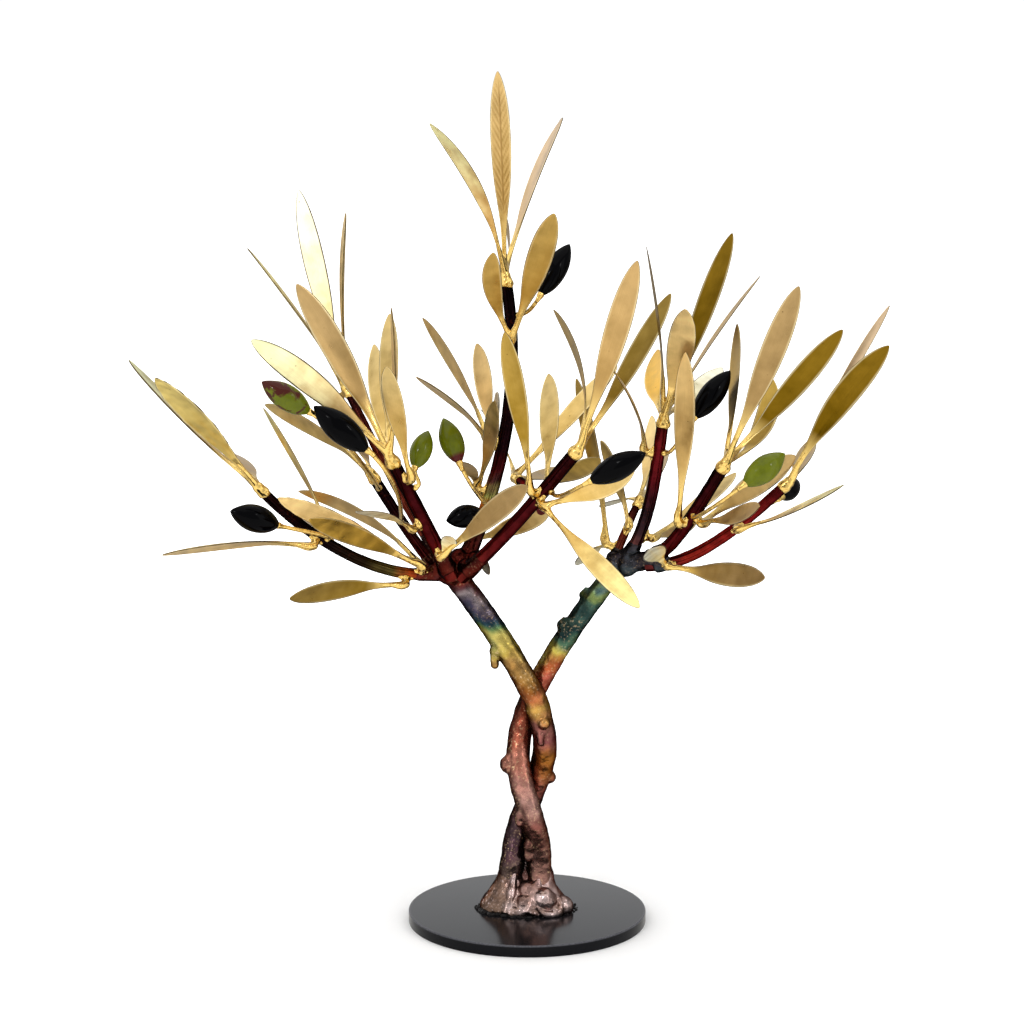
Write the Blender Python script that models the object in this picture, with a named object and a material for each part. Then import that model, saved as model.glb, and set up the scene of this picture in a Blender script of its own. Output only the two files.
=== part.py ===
"""Olive tree, a table sculpture in metal: two twisted stems on a round steel disc,
copper boughs, sprays of brass leaves and enamelled olives.

Frame: the origin is the centre of the disc's underside, +Z is up, -Y is the front and
+X is the right-hand side seen from the front. Sizes here are millimetres and degrees;
the meshes are written in metres.
"""
import math
from typing import NamedTuple

import bmesh
import bpy
from mathutils import Vector

MM = 0.001
GAP = 0.3                  # clearance between two neighbouring pieces

# Base disc
DISC_RADIUS = 39.9
DISC_HEIGHT = 4.0
DISC_SIDES = 72
RIM_BEVEL = 0.7

# The two stems turn round each other and part above the upper crossing.
TWIST_RADIUS = 4.35        # from the pair's axis to each stem's centre line
HALF_TURN = 38.0           # height in which the stems change sides
UPPER_CROSSING = 78.0      # height at which the left stem passes in front
TWIST_END = 22.0           # below this height they run straight down and splay
SPLAY = 0.1                # outward run per millimetre of height, below the twist
AXIS_LEAN = 0.048          # the pair's axis leans to the right by this slope
AXIS_SHIFT = -1.4
FORK_SLOPE = 0.50          # outward run per millimetre where the stems part
FORK_BEND = 0.0036         # and how fast that slope grows
FORK_CLOSING = 0.04        # how fast they come level with each other, front to back
STEM_BOTTOM = 7.5
LEFT_STEM_TOP = 119.5
RIGHT_STEM_TURN = 116.0    # above this the right stem bends over into a short arm
RIGHT_ARM = ((32.5, 1.5, 122.0), (41.0, -2.0, 124.0))
LEFT_STEM_RADII = (4.0, 3.9)
RIGHT_STEM_RADII = (4.1, 3.1)
STEM_SIDES = 12
STEM_RINGS = 28
ARM_RINGS = 6

# Weld knots on the stems: height, bearing (0 right, 90 back, 180 left, 270 front), radius
LEFT_KNOTS = ((93, 190, 2.3), (69, 260, 2.4), (63, 230, 1.8), (49, 350, 1.7))
RIGHT_KNOTS = ((111, 170, 1.8), (100, 200, 2.3), (54.5, 185, 2.3), (38, 200, 2.0), (27, 230, 2.0))
# The lumps in which the boughs are welded: centre and radius
LEFT_FORK_LUMPS = (((-25.0, -4.0, 120.5), 5.0), ((-22.5, -2.5, 124.5), 3.4))
RIGHT_FORK_LUMPS = (((29.5, 3.0, 121.0), 4.7), ((33.0, 0.5, 121.0), 4.0))

# Root mound: a low foot with folded lumps round the stems, cut flat over the disc
MOUND_LEVEL = DISC_HEIGHT + GAP
MOUND_CUTTER = 80.0        # side of the block that cuts it flat
MOUND_LUMPS = (
    ((0.0, 0.5, 5.0), 12.0), ((-9.5, -1.0, 6.0), 7.0), ((8.5, -2.0, 6.5), 7.5),
    ((6.5, -6.5, 8.0), 5.5), ((-4.0, -8.0, 5.5), 5.5), ((-7.0, 6.0, 6.5), 6.0),
    ((7.5, 7.0, 6.0), 6.0), ((-1.0, 2.5, 11.0), 5.5),
)

# Boughs: root, first handle, second handle and tip of one smooth curve, then the
# radius at the root and at the tip
BOUGHS = {
    "bough_left_low": ((-29, -5, 120), (-49, -9, 118), (-71, -16, 134), (-85, -22, 150), 2.0, 1.7),
    "bough_left_front": ((-26, -9, 122), (-31, -15, 134), (-37, -22, 148), (-43, -30, 161), 2.5, 2.2),
    "bough_left_middle": ((-31, 0, 122), (-38, -3, 131), (-44, -6, 142), (-50, -8, 152), 1.9, 1.8),
    "bough_left_back": ((-29, 5, 123), (-43, 13, 142), (-51, 21, 159), (-60, 28, 175), 1.6, 1.4),
    "bough_centre_tall": ((-20, 0, 125), (-7, 0, 153), (-2, 1, 185), (-7, 2, 215), 2.4, 1.9),
    "bough_centre_front": ((-20, -8, 121), (-7, -15, 134), (4, -22, 149), (15, -30, 164), 2.4, 2.2),
    "bough_centre_back": ((4, -15, 144), (3, -8, 146), (0, 2, 148), (-3, 8, 149), 1.6, 1.5),
    "bough_right_tall": ((33, 3, 124), (41, 0, 136), (42, -3, 155), (44, -6, 170), 2.1, 2.0),
    "bough_right_back": ((29, 9, 123), (32, 13, 128), (34, 18, 133), (37, 22, 138), 1.5, 1.4),
    "bough_right_front": ((42, -3, 126), (48, -10, 129), (55, -19, 145), (62, -28, 159), 2.3, 2.1),
    "bough_right_low": ((42, -4, 121), (55, -8, 124), (70, -10, 137), (83, -12, 150), 2.0, 1.8),
}
BOUGH_SIDES = 8
BOUGH_RINGS = 10

# Sides of a bough on which something is brazed
SIDES = {
    "front": (0, -1, 0), "back": (0, 1, 0), "left": (-1, 0, 0), "right": (1, 0, 0),
    "below": (0, 0, -1), "front above": (0, -1, 1), "front below": (0, -1, -1),
    "back above": (0, 1, 1), "left front": (-1, -1, 0), "right front": (1, -1, 0),
}
BEAD_RADIUS = 1.9          # the brass bead that a spray's leaves are brazed into


class Leaf(NamedTuple):
    """One leaf, from its bead: lean from upright (to the right), turn towards the front,
    length, width, roll about its own line, and how far its middle sways to the right."""
    lean: float
    toward: float
    length: float
    width: float = 8.6
    roll: float = 20
    sway: float = 0


# Sprays: bough, place along it, side ("tip" for its end), then the leaves
SPRAYS = {
    "spray_left_low_tip": ("bough_left_low", 1.0, "tip", (
        Leaf(-48, -18, 61, roll=-64), Leaf(-37, 28, 55, roll=25),
        Leaf(-75, -75, 50, 8.0, 85))),
    "spray_left_low_outer": ("bough_left_low", 0.66, "front below", (
        Leaf(-86, 36, 56, roll=62, sway=0.5),)),
    "spray_left_low_upper": ("bough_left_low", 0.60, "back above", (
        Leaf(-30, -20, 48, 5.0, 60), Leaf(-100, -68, 46, 8.0, 80))),
    "spray_left_low_base": ("bough_left_low", 0.10, "front above", (
        Leaf(-58, 38, 52), Leaf(-64, -29, 54, 8.0, 48, 3), Leaf(-60, 20, 56))),
    "spray_left_low_under": ("bough_left_low", 0.18, "front below", (
        Leaf(-87, 42, 48, 8.4),)),
    "spray_left_back_tip": ("bough_left_back", 1.0, "tip", (
        Leaf(-13, -3, 68, sway=-1), Leaf(-37, -19, 60, 8.0, 80), Leaf(1, 8, 60, 8.0, 80, -2.5),
        Leaf(-25, -72, 55, 8.0, 85), Leaf(-155, -30, 14, 5.0))),
    "spray_left_middle_tip": ("bough_left_middle", 1.0, "tip", (
        Leaf(-64, -38, 52, 8.0, 45, 1), Leaf(-60, -76, 48, 8.0, 85))),
    "spray_left_front_tip": ("bough_left_front", 1.0, "tip", (
        Leaf(-48, 8, 58, 8.8, 10, 2), Leaf(-30, -20, 65, 9.2, 5, 1), Leaf(2, 26, 56, 8.0, 80),
        Leaf(-2, -42, 56, 8.0, 30, -1), Leaf(-12, -50, 50, 7.8, 30, -1.5))),
    "spray_left_front_outer": ("bough_left_front", 0.86, "right front", (
        Leaf(-9, 33, 48, 7.4, 25, -1),)),
    "spray_left_front_side": ("bough_left_front", 0.48, "left front", (
        Leaf(-55, 59, 40, 6.0, 40),)),
    "spray_top": ("bough_centre_tall", 1.0, "tip", (
        Leaf(-2, 9, 67, 7.2, 10), Leaf(-25, 26, 62, 8.0, 65, 1), Leaf(21, -31, 62, 8.0, 65, -3),
        Leaf(0, -74, 52, 7.6, 88))),
    "spray_upper": ("bough_centre_tall", 0.80, "front", (
        Leaf(17, 36, 56, 8.8, 8), Leaf(-11, 32, 36, 6.8, 15, -3))),
    "spray_centre_left": ("bough_centre_tall", 0.42, "left", (
        Leaf(-32, -39, 56, 8.0, 58, 0.3), Leaf(-41, 46, 50, 8.0, 64, 0.3), Leaf(-10, -56, 50, 7.4, 28),
        Leaf(10, -80, 52, 8.0, 85))),
    "spray_centre_low": ("bough_centre_tall", 0.24, "left", (
        Leaf(10, 42, 46, 6.6, 36), Leaf(-23, 45, 17, 6.0, 30))),
    "spray_centre_front_upper": ("bough_centre_front", 0.68, "front above", (
        Leaf(-9, 20, 58, 7.4),)),
    "spray_centre_front_lower": ("bough_centre_front", 0.66, "front below", (
        Leaf(59, 34, 41, 8.8, 8, 2.4), Leaf(130, 46, 56))),
    "spray_centre_front_rear": ("bough_centre_front", 0.70, "back", (
        Leaf(2, -56, 54, 8.0, 30), Leaf(79, -59, 36, 7.0, 45))),
    "spray_centre_back_tip": ("bough_centre_back", 1.0, "tip", (
        Leaf(46, -34, 58, 8.0, 46, -1), Leaf(-38, -70, 56, 8.0, 80), Leaf(100, -66, 48, 8.0, 80))),
    "spray_centre_front_tip": ("bough_centre_front", 1.0, "tip", (
        Leaf(16, 13, 65, 8.8, 22), Leaf(33, -27, 62, 8.0, 42), Leaf(-11, -42, 55, 8.0, 80, 4))),
    "spray_right_back_base": ("bough_right_back", 0.15, "left", (
        Leaf(-11, -32, 62, 8.0, 53), Leaf(-141, -59, 30, 6.0, 40))),
    "spray_right_back_side": ("bough_right_back", 0.50, "front", (
        Leaf(-20, -50, 40, 7.0, 52),)),
    "spray_right_tall_tip": ("bough_right_tall", 1.0, "tip", (
        Leaf(-7, 17, 60, 8.0, 83), Leaf(-1, -68, 45, 8.0, 38, -3), Leaf(7, 39, 50, 9.4, 5, 1),
        Leaf(22, -22, 67, 8.4, 38, -0.5), Leaf(37, -25, 60, 8.0, 76, -2.4), Leaf(64, -61, 50, 8.0, 50))),
    "spray_right_tall_side": ("bough_right_tall", 0.78, "left", (
        Leaf(-21, 44, 46, 7.0, 84, 0.7),)),
    "spray_right_tall_base": ("bough_right_tall", 0.20, "right", (
        Leaf(63, -49, 52, 8.0, 50), Leaf(88, -62, 36, 6.0, 40))),
    "spray_right_front_upright": ("bough_right_front", 0.52, "left front", (
        Leaf(1, 10, 58, 8.0, 28),)),
    "spray_right_front_under": ("bough_right_front", 0.60, "below", (
        Leaf(64, -44, 52, 8.8, 8), Leaf(51, 63, 44, 7.0, 60))),
    "spray_right_back_tip": ("bough_right_back", 1.0, "tip", (
        Leaf(14, -61, 48, 7.5, 60), Leaf(-124, -65, 34, 7.5, 60), Leaf(50, -74, 52, 8.0, 85))),
    "spray_right_low_base": ("bough_right_low", 0.12, "front", (
        Leaf(-35, 60, 24, 8.8, 0), Leaf(87, 42, 40, 8.6, 26))),
    "spray_right_low_side": ("bough_right_low", 0.64, "front", (
        Leaf(57, 40, 48, 7.0, 76),)),
    "spray_right_front_tip": ("bough_right_front", 1.0, "tip", (
        Leaf(8, -41, 54, 8.0, 62, -0.5), Leaf(20, 13, 63), Leaf(45, -26, 62, roll=34),
        Leaf(39, -54, 48, 8.0, 42, 4.5))),
    "spray_right_low_tip": ("bough_right_low", 1.0, "tip", (
        Leaf(30, -8, 66, 8.0, 60, -1.5), Leaf(32, 18, 58, 9.0, 8, -2), Leaf(60, -74, 50, 8.0, 85))),
    "spray_left_fork_front": ("bough_left_front", 0.20, "front", (
        Leaf(45, 34, 48, 8.4, 26, -0.8), Leaf(26, 40, 12, 5.6, 0))),
    "spray_left_fork_rear": ("bough_centre_tall", 0.05, "back", (
        Leaf(82, -52, 42, 8.0, 42), Leaf(150, 42, 15, 3.0, 0), Leaf(20, -72, 50, 8.0, 80))),
}
LEAF_THICKNESS = 0.75
LEAF_STALK = 0.18          # share of the leaf's length that is its narrow stalk
STALK_WIDTH = 1.5
STALK_TAPER = 0.6          # share of that width lost by the leaf's tip
BLADE_LEAN = 1.2           # above 1 the blade is widest beyond its middle
BLADE_FULLNESS = 0.7       # below 1 the outline is fuller than a sine curve
LEAF_CURL = 1.5            # how far the middle of the blade stands out of straight
LEAF_STATIONS = (0.0, 0.16, 0.32, 0.52, 0.74, 0.92)

# Olives: bough, place along it, side, where the wire enters the olive, then the olive's
# lean, turn towards the front, length and width, and its colour
OLIVES = {
    "olive_left_outer": ("bough_left_low", 0.62, "front above",
        (-79.7, -27, 140), -67, 28, 18, 9.2, "black"),
    "olive_left_mottled": ("bough_left_middle", 0.92, "front",
        (-68, -44, 179), -56, 8, 18, 8.4, "green"),
    "olive_left_large": ("bough_left_middle", 0.55, "front",
        (-50, -45, 167), -50, 0, 22, 9.5, "black"),
    "olive_left_small": ("bough_left_front", 0.75, "right",
        (-36.5, -18, 157), 21, -30, 14, 7.4, "green"),
    "olive_centre_green": ("bough_centre_tall", 0.20, "front",
        (-22, -14, 158), -21, -20, 16, 8.1, "green"),
    "olive_centre_hidden": ("bough_centre_tall", 0.16, "left front",
        (-14.5, -8, 141), -100, 20, 13, 7.9, "black"),
    "olive_centre_large": ("bough_centre_front", 0.74, "right front",
        (19, -52, 158.5), 61, 10, 20, 8.6, "black"),
    "olive_top": ("bough_centre_tall", 0.88, "right",
        (4, -5, 211.5), 31, -21, 20, 8.2, "black"),
    "olive_right_upper": ("bough_right_tall", 0.80, "right front",
        (53.5, -13, 172.5), 39, -17, 20, 8.2, "black"),
    "olive_right_green": ("bough_right_front", 0.62, "front",
        (68, -38, 155), 55, -18, 17, 8.7, "green"),
    "olive_right_outer": ("bough_right_low", 0.76, "back",
        (83.5, 0, 144.5), 60, -60, 14, 7.2, "black"),
}
OLIVE_SIDES = 10
OLIVE_RINGS = 6
OLIVE_FULLNESS = 0.8       # below 1 the outline is fuller than a sine curve
WIRE_SINK = 0.15           # share of the olive's length that the wire runs into it
WIRE_RADIUS = 0.6
WIRE_SIDES = 5
WIRE_RINGS = 6
WIRE_RISE = 3.0            # how far a wire first stands out from its bough

# Plain stand-in colours, roughness and metallic value of each piece
FINISHES = {
    "steel_black": ((0.035, 0.035, 0.04), 0.45, 0.9),
    "copper_patina": ((0.30, 0.13, 0.09), 0.35, 1.0),
    "copper_dark": ((0.10, 0.02, 0.02), 0.3, 0.8),
    "brass": ((0.62, 0.44, 0.15), 0.35, 1.0),
    "enamel_black": ((0.01, 0.01, 0.015), 0.12, 0.0),
    "enamel_green": ((0.12, 0.22, 0.02), 0.15, 0.0),
}


def finish(name):
    """Return the material of that name, made on first use."""
    found = bpy.data.materials.get(name)
    if found:
        return found
    colour, roughness, metallic = FINISHES[name]
    made = bpy.data.materials.new(name)
    made.use_nodes = True
    shader = made.node_tree.nodes["Principled BSDF"]
    shader.inputs["Base Color"].default_value = (*colour, 1.0)
    shader.inputs["Roughness"].default_value = roughness
    shader.inputs["Metallic"].default_value = metallic
    return made


def new_object(name, bm, finish_name):
    """Turn a bmesh in millimetres into an object in metres."""
    bmesh.ops.recalc_face_normals(bm, faces=bm.faces)
    bmesh.ops.scale(bm, vec=(MM, MM, MM), verts=bm.verts)
    mesh = bpy.data.meshes.new(name)
    bm.to_mesh(mesh)
    bm.free()
    mesh.materials.append(finish(finish_name))
    made = bpy.data.objects.new(name, mesh)
    bpy.context.scene.collection.objects.link(made)
    return made


def combine(target, others, operation, solver="EXACT"):
    """Join others to target, or cut them out of it, with one Boolean on a collection."""
    group = bpy.data.collections.new("working")
    bpy.context.scene.collection.children.link(group)
    for other in others:
        bpy.context.scene.collection.objects.unlink(other)
        group.objects.link(other)
    boolean = target.modifiers.new("combine", "BOOLEAN")
    boolean.operation = operation
    boolean.operand_type = "COLLECTION"
    boolean.collection = group
    boolean.solver = solver
    bpy.context.view_layer.update()
    graph = bpy.context.evaluated_depsgraph_get()
    mesh = bpy.data.meshes.new_from_object(target.evaluated_get(graph))
    target.modifiers.clear()
    old = target.data
    target.data = mesh
    bpy.data.meshes.remove(old)
    mesh.name = target.name
    for other in others:
        bpy.data.objects.remove(other)
    bpy.data.collections.remove(group)
    return target


def curve_point(handles, along):
    """Point of a cubic curve."""
    a, b, c, d = (Vector(handle) for handle in handles)
    back = 1.0 - along
    return a * back ** 3 + b * 3 * back ** 2 * along + c * 3 * back * along ** 2 + d * along ** 3


def curve_direction(handles, along):
    """Unit direction of a cubic curve."""
    step = 0.01
    ahead = curve_point(handles, min(1.0, along + step))
    behind = curve_point(handles, max(0.0, along - step))
    return (ahead - behind).normalized()


def tube(points, radii, sides):
    """Sweep a round section along the points and close both ends."""
    bm = bmesh.new()
    across = None
    rings = []
    for index, point in enumerate(points):
        ahead = points[min(index + 1, len(points) - 1)]
        behind = points[max(index - 1, 0)]
        along = (ahead - behind).normalized()
        if across is None:
            across = along.orthogonal().normalized()
        across = (across - along * across.dot(along)).normalized()
        other = along.cross(across)
        ring = []
        for side in range(sides):
            angle = 2 * math.pi * side / sides
            offset = across * math.cos(angle) + other * math.sin(angle)
            ring.append(bm.verts.new(point + offset * radii[index]))
        rings.append(ring)
    skin_rings(bm, rings)
    bm.faces.new(reversed(rings[0]))
    bm.faces.new(rings[-1])
    return bm


def skin_rings(bm, rings):
    """Join consecutive rings of vertices with faces."""
    for near, far in zip(rings, rings[1:]):
        for side in range(len(near)):
            after = (side + 1) % len(near)
            bm.faces.new((near[side], near[after], far[after], far[side]))


def ball(centre, radius, detail):
    """A round lump."""
    bm = bmesh.new()
    bmesh.ops.create_icosphere(bm, subdivisions=detail, radius=radius)
    bmesh.ops.translate(bm, vec=Vector(centre), verts=bm.verts)
    return bm


def make_disc():
    """The round steel base, bevelled round its top edge."""
    bm = bmesh.new()
    bmesh.ops.create_cone(bm, cap_ends=True, segments=DISC_SIDES, radius1=DISC_RADIUS, radius2=DISC_RADIUS,
                          depth=DISC_HEIGHT)
    bmesh.ops.translate(bm, vec=(0, 0, DISC_HEIGHT / 2), verts=bm.verts)
    half = DISC_HEIGHT / 2
    rim = [edge for edge in bm.edges if min(vert.co.z for vert in edge.verts) > half]
    bmesh.ops.bevel(bm, geom=rim, offset=RIM_BEVEL, segments=2, affect="EDGES", profile=0.5)
    return new_object("base_disc", bm, "steel_black")


def stem_point(hand, height):
    """Centre line of a stem; hand is -1 for the stem that ends on the left, 1 for the right."""
    if height >= UPPER_CROSSING:
        rise = height - UPPER_CROSSING
        out = FORK_SLOPE * rise + FORK_BEND * rise ** 2
        axis = AXIS_SHIFT + AXIS_LEAN * UPPER_CROSSING
        return Vector((axis + hand * out, hand * (TWIST_RADIUS - FORK_CLOSING * rise), height))
    turned = max(height, TWIST_END)
    turn = math.pi * (UPPER_CROSSING - turned) / HALF_TURN
    reach = TWIST_RADIUS + SPLAY * (turned - height)
    axis = AXIS_SHIFT + AXIS_LEAN * height
    return Vector((axis - hand * reach * math.sin(turn), hand * reach * math.cos(turn), height))


def stem_path(hand):
    """Centre line points of a stem, from its foot to its fork."""
    top = LEFT_STEM_TOP if hand < 0 else RIGHT_STEM_TURN
    rise = (top - STEM_BOTTOM) / (STEM_RINGS - 1)
    points = [stem_point(hand, STEM_BOTTOM + rise * ring) for ring in range(STEM_RINGS)]
    if hand > 0:
        start = points[-1]
        lead = start + (start - points[-2])
        handles = (start, lead, *RIGHT_ARM)
        points += [curve_point(handles, (ring + 1) / ARM_RINGS) for ring in range(ARM_RINGS)]
    return points


def stem_radius(hand, share, growth=0.0):
    """Radius of a stem at a share of its length."""
    foot, end = LEFT_STEM_RADII if hand < 0 else RIGHT_STEM_RADII
    return foot + (end - foot) * share + growth


def make_stem(name, hand, growth=0.0):
    """A stem with its knots and fork lumps; growth makes the larger copy used as a cutter."""
    points = stem_path(hand)
    last = len(points) - 1
    radii = [stem_radius(hand, index / last, growth) for index in range(len(points))]
    points[0] = points[0] - Vector((0, 0, growth))
    stem = new_object(name, tube(points, radii, STEM_SIDES), "copper_patina")
    lumps = []
    for height, bearing, radius in (LEFT_KNOTS if hand < 0 else RIGHT_KNOTS):
        share = (height - STEM_BOTTOM) / (RIGHT_STEM_TURN - STEM_BOTTOM)
        reach = stem_radius(hand, share)
        angle = math.radians(bearing)
        outward = Vector((math.cos(angle), math.sin(angle), 0))
        lumps.append((stem_point(hand, height) + outward * reach, radius))
    lumps += LEFT_FORK_LUMPS if hand < 0 else RIGHT_FORK_LUMPS
    pieces = [new_object("lump", ball(centre, radius + growth, 2), "copper_patina")
              for centre, radius in lumps]
    return combine(stem, pieces, "UNION")


def make_mound():
    """The lumpy foot round the stems, cut flat just over the disc."""
    first, *rest = MOUND_LUMPS
    mound = new_object("root_mound", ball(*first, 3), "copper_patina")
    combine(mound, [new_object("lump", ball(*lump, 2), "copper_patina") for lump in rest], "UNION")
    bm = bmesh.new()
    bmesh.ops.create_cube(bm, size=MOUND_CUTTER)
    bmesh.ops.translate(bm, vec=(0, 0, MOUND_LEVEL - MOUND_CUTTER / 2), verts=bm.verts)
    below = new_object("below", bm, "copper_patina")
    cutters = [below, make_stem("cutter", -1, GAP), make_stem("cutter", 1, GAP)]
    return combine(mound, cutters, "DIFFERENCE")


def bough_radius(row, along):
    """Radius of a bough at a place along it."""
    return row[4] + (row[5] - row[4]) * along


def bough_tube(row, growth=0.0):
    """A bough's tapering tube."""
    shares = [ring / BOUGH_RINGS for ring in range(BOUGH_RINGS + 1)]
    points = [curve_point(row[:4], share) for share in shares]
    return tube(points, [bough_radius(row, share) + growth for share in shares], BOUGH_SIDES)


def make_boughs():
    """Every bough, cut clear of the fork that it is welded to."""
    for name, row in BOUGHS.items():
        bough = new_object(name, bough_tube(row), "copper_dark")
        if name == "bough_centre_back":    # it grows from another bough
            cutter = new_object("cutter", bough_tube(BOUGHS["bough_centre_front"], GAP), "copper_dark")
        else:
            cutter = make_stem("cutter", -1 if row[0][0] < 0 else 1, GAP)
        combine(bough, [cutter], "DIFFERENCE")


def seat(bough_name, along, side, radius):
    """Centre of a bead of that radius, standing clear of the bough on one side."""
    row = BOUGHS[bough_name]
    point = curve_point(row[:4], along)
    direction = curve_direction(row[:4], along)
    if side == "tip":
        return point + direction * (radius + GAP)
    outward = Vector(SIDES[side])
    outward = (outward - direction * outward.dot(direction)).normalized()
    return point + outward * (bough_radius(row, along) + radius + GAP)


def pointing(lean, toward):
    """Unit direction from a lean to the right and a turn towards the front."""
    lean, toward = math.radians(lean), math.radians(toward)
    return Vector((math.sin(lean) * math.cos(toward), -math.sin(toward),
                   math.cos(lean) * math.cos(toward)))


def leaf_half_width(share, width):
    """Half the blade's width at a share of the leaf's length."""
    blade = max(0.0, (share - LEAF_STALK) / (1.0 - LEAF_STALK))
    swell = math.sin(math.pi * blade ** BLADE_LEAN) ** BLADE_FULLNESS if 0 < blade < 1 else 0.0
    return STALK_WIDTH / 2 * (1 - STALK_TAPER * blade) + (width - STALK_WIDTH) / 2 * swell


def leaf_blade(root, leaf):
    """A pointed blade with a ridge along both faces."""
    bm = bmesh.new()
    along = pointing(leaf.lean, leaf.toward)
    level = Vector((math.cos(math.radians(leaf.lean)), 0, -math.sin(math.radians(leaf.lean))))
    facing = level.cross(along)
    turn = math.radians(leaf.roll)
    across = level * math.cos(turn) + facing * math.sin(turn)
    normal = across.cross(along)
    rings = []
    for share in LEAF_STATIONS:
        bend = 4 * share * (1 - share)
        centre = root + along * leaf.length * share + (level * leaf.sway - normal * LEAF_CURL) * bend
        half = leaf_half_width(share, leaf.width)
        ridge = LEAF_THICKNESS / 2
        rings.append([bm.verts.new(centre + offset) for offset in
                      (across * half, normal * ridge, -across * half, -normal * ridge)])
    skin_rings(bm, rings)
    bm.faces.new(reversed(rings[0]))
    tip = bm.verts.new(root + along * leaf.length)
    for side in range(4):
        bm.faces.new((rings[-1][side], rings[-1][(side + 1) % 4], tip))
    return bm


def make_sprays():
    """Every spray: its bead with the leaves fused to it."""
    for name, (bough_name, along, side, leaves) in SPRAYS.items():
        centre = seat(bough_name, along, side, BEAD_RADIUS)
        spray = new_object(name, ball(centre, BEAD_RADIUS, 2), "brass")
        blades = [new_object("leaf", leaf_blade(centre, leaf), "brass") for leaf in leaves]
        combine(spray, blades, "UNION", "MANIFOLD")


def olive_body(stem_end, direction, length, width):
    """A pointed oval fruit, turned about its own axis."""
    bm = bmesh.new()
    rings = []
    across = direction.orthogonal().normalized()
    other = direction.cross(across)
    for ring in range(OLIVE_RINGS):
        share = (ring + 1) / (OLIVE_RINGS + 1)
        half = width / 2 * math.sin(math.pi * share) ** OLIVE_FULLNESS
        centre = stem_end + direction * length * share
        rings.append([bm.verts.new(centre + (across * math.cos(a) + other * math.sin(a)) * half)
                      for a in (2 * math.pi * side / OLIVE_SIDES for side in range(OLIVE_SIDES))])
    skin_rings(bm, rings)
    for ring, end in ((rings[0], stem_end), (rings[-1], stem_end + direction * length)):
        point = bm.verts.new(end)
        for side in range(OLIVE_SIDES):
            bm.faces.new((ring[side], ring[(side + 1) % OLIVE_SIDES], point))
    return bm


def make_olives():
    """Every olive with its wire, which starts clear of its bough."""
    for name, (bough_name, along, side, end, lean, toward, length, width, colour) in OLIVES.items():
        start = seat(bough_name, along, side, WIRE_RADIUS)
        outward = (start - curve_point(BOUGHS[bough_name][:4], along)).normalized()
        direction = pointing(lean, toward)
        end = Vector(end)
        reach = (end - start).length / 3
        inside = end + direction * length * WIRE_SINK
        handles = (start, start + outward * WIRE_RISE, end - direction * reach, inside)
        points = [curve_point(handles, ring / WIRE_RINGS) for ring in range(WIRE_RINGS + 1)]
        finish_name = "enamel_" + colour
        olive = new_object(name, olive_body(end, direction, length, width), finish_name)
        radii = [WIRE_RADIUS] * len(points)
        combine(olive, [new_object("wire", tube(points, radii, WIRE_SIDES), "brass")], "UNION")


def main():
    for old in list(bpy.data.objects):
        bpy.data.objects.remove(old)
    make_disc()
    make_mound()
    make_stem("stem_left", -1)
    make_stem("stem_right", 1)
    make_boughs()
    make_sprays()
    make_olives()


main()
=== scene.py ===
"""The finish of a metal olive tree: a blackened disc, a flame-coloured twisted trunk,
dark copper boughs, sprays of brushed brass leaves and enamelled olives.

Sizes and places in the tables are millimetres and degrees, in the frame of the CAD
model: the origin is the centre of the disc's underside, +Z is up and -Y is the front.
"""
import math
import random
from typing import NamedTuple

import bpy
import numpy as np
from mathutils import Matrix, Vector, kdtree


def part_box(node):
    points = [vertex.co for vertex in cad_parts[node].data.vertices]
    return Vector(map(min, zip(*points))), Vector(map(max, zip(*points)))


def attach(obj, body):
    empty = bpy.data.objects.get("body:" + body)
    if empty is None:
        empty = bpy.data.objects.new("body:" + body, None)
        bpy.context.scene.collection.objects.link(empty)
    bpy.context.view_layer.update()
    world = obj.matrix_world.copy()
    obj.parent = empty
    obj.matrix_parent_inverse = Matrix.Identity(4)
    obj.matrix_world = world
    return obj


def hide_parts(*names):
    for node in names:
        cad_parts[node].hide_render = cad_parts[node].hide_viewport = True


bl_info = {
    "name": "Olive tree in metal",
    "version": (1, 0, 0),
    "blender": (4, 5, 0),
    "location": "3D View > Sidebar > Olive tree",
    "description": "Models and finishes the disc, trunk, boughs, leaves and olives of a metal olive tree",
    "category": "Object",
}

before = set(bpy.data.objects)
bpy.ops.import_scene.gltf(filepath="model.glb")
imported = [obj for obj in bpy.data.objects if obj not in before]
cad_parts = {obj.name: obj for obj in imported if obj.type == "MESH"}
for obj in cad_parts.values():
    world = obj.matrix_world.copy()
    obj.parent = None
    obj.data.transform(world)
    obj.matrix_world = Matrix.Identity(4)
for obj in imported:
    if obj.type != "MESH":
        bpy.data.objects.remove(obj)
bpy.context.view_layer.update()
MM = 0.001                 # metres in a millimetre
UP = Vector((0, 0, 1))
DISC_SIDES = 192           # flat faces round the rim, too narrow to tell from round

# The two stems turn round each other and part above the upper crossing.
TWIST_RADIUS = 4.35        # from the pair's axis to each stem's centre line
HALF_TURN = 38.0           # height in which the stems change sides
UPPER_CROSSING = 78.0      # height at which the left stem passes in front
TWIST_END = 22.0           # below this height they run straight down and splay
SPLAY = 0.1                # outward run per millimetre of height, below the twist
AXIS_LEAN = 0.048          # the pair's axis leans to the right by this slope
AXIS_SHIFT = -1.4          # and starts this far from the disc's centre
FORK_SLOPE = 0.50          # outward run per millimetre where the stems part
FORK_BEND = 0.0036         # and how fast that slope grows
FORK_CLOSING = 0.04        # how fast they come level with each other, front to back
STEM_BOTTOM = 5.0          # inside the mound
LEFT_STEM_TOP = 121.5
RIGHT_STEM_TURN = 116.0    # above this the right stem bends over into a short arm
RIGHT_ARM = ((32.5, 1.5, 122.0), (42.0, -2.5, 124.2))  # its second handle and its end
ARM_LEAD = 20              # its first handle stands out by the stem's length over this
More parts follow.
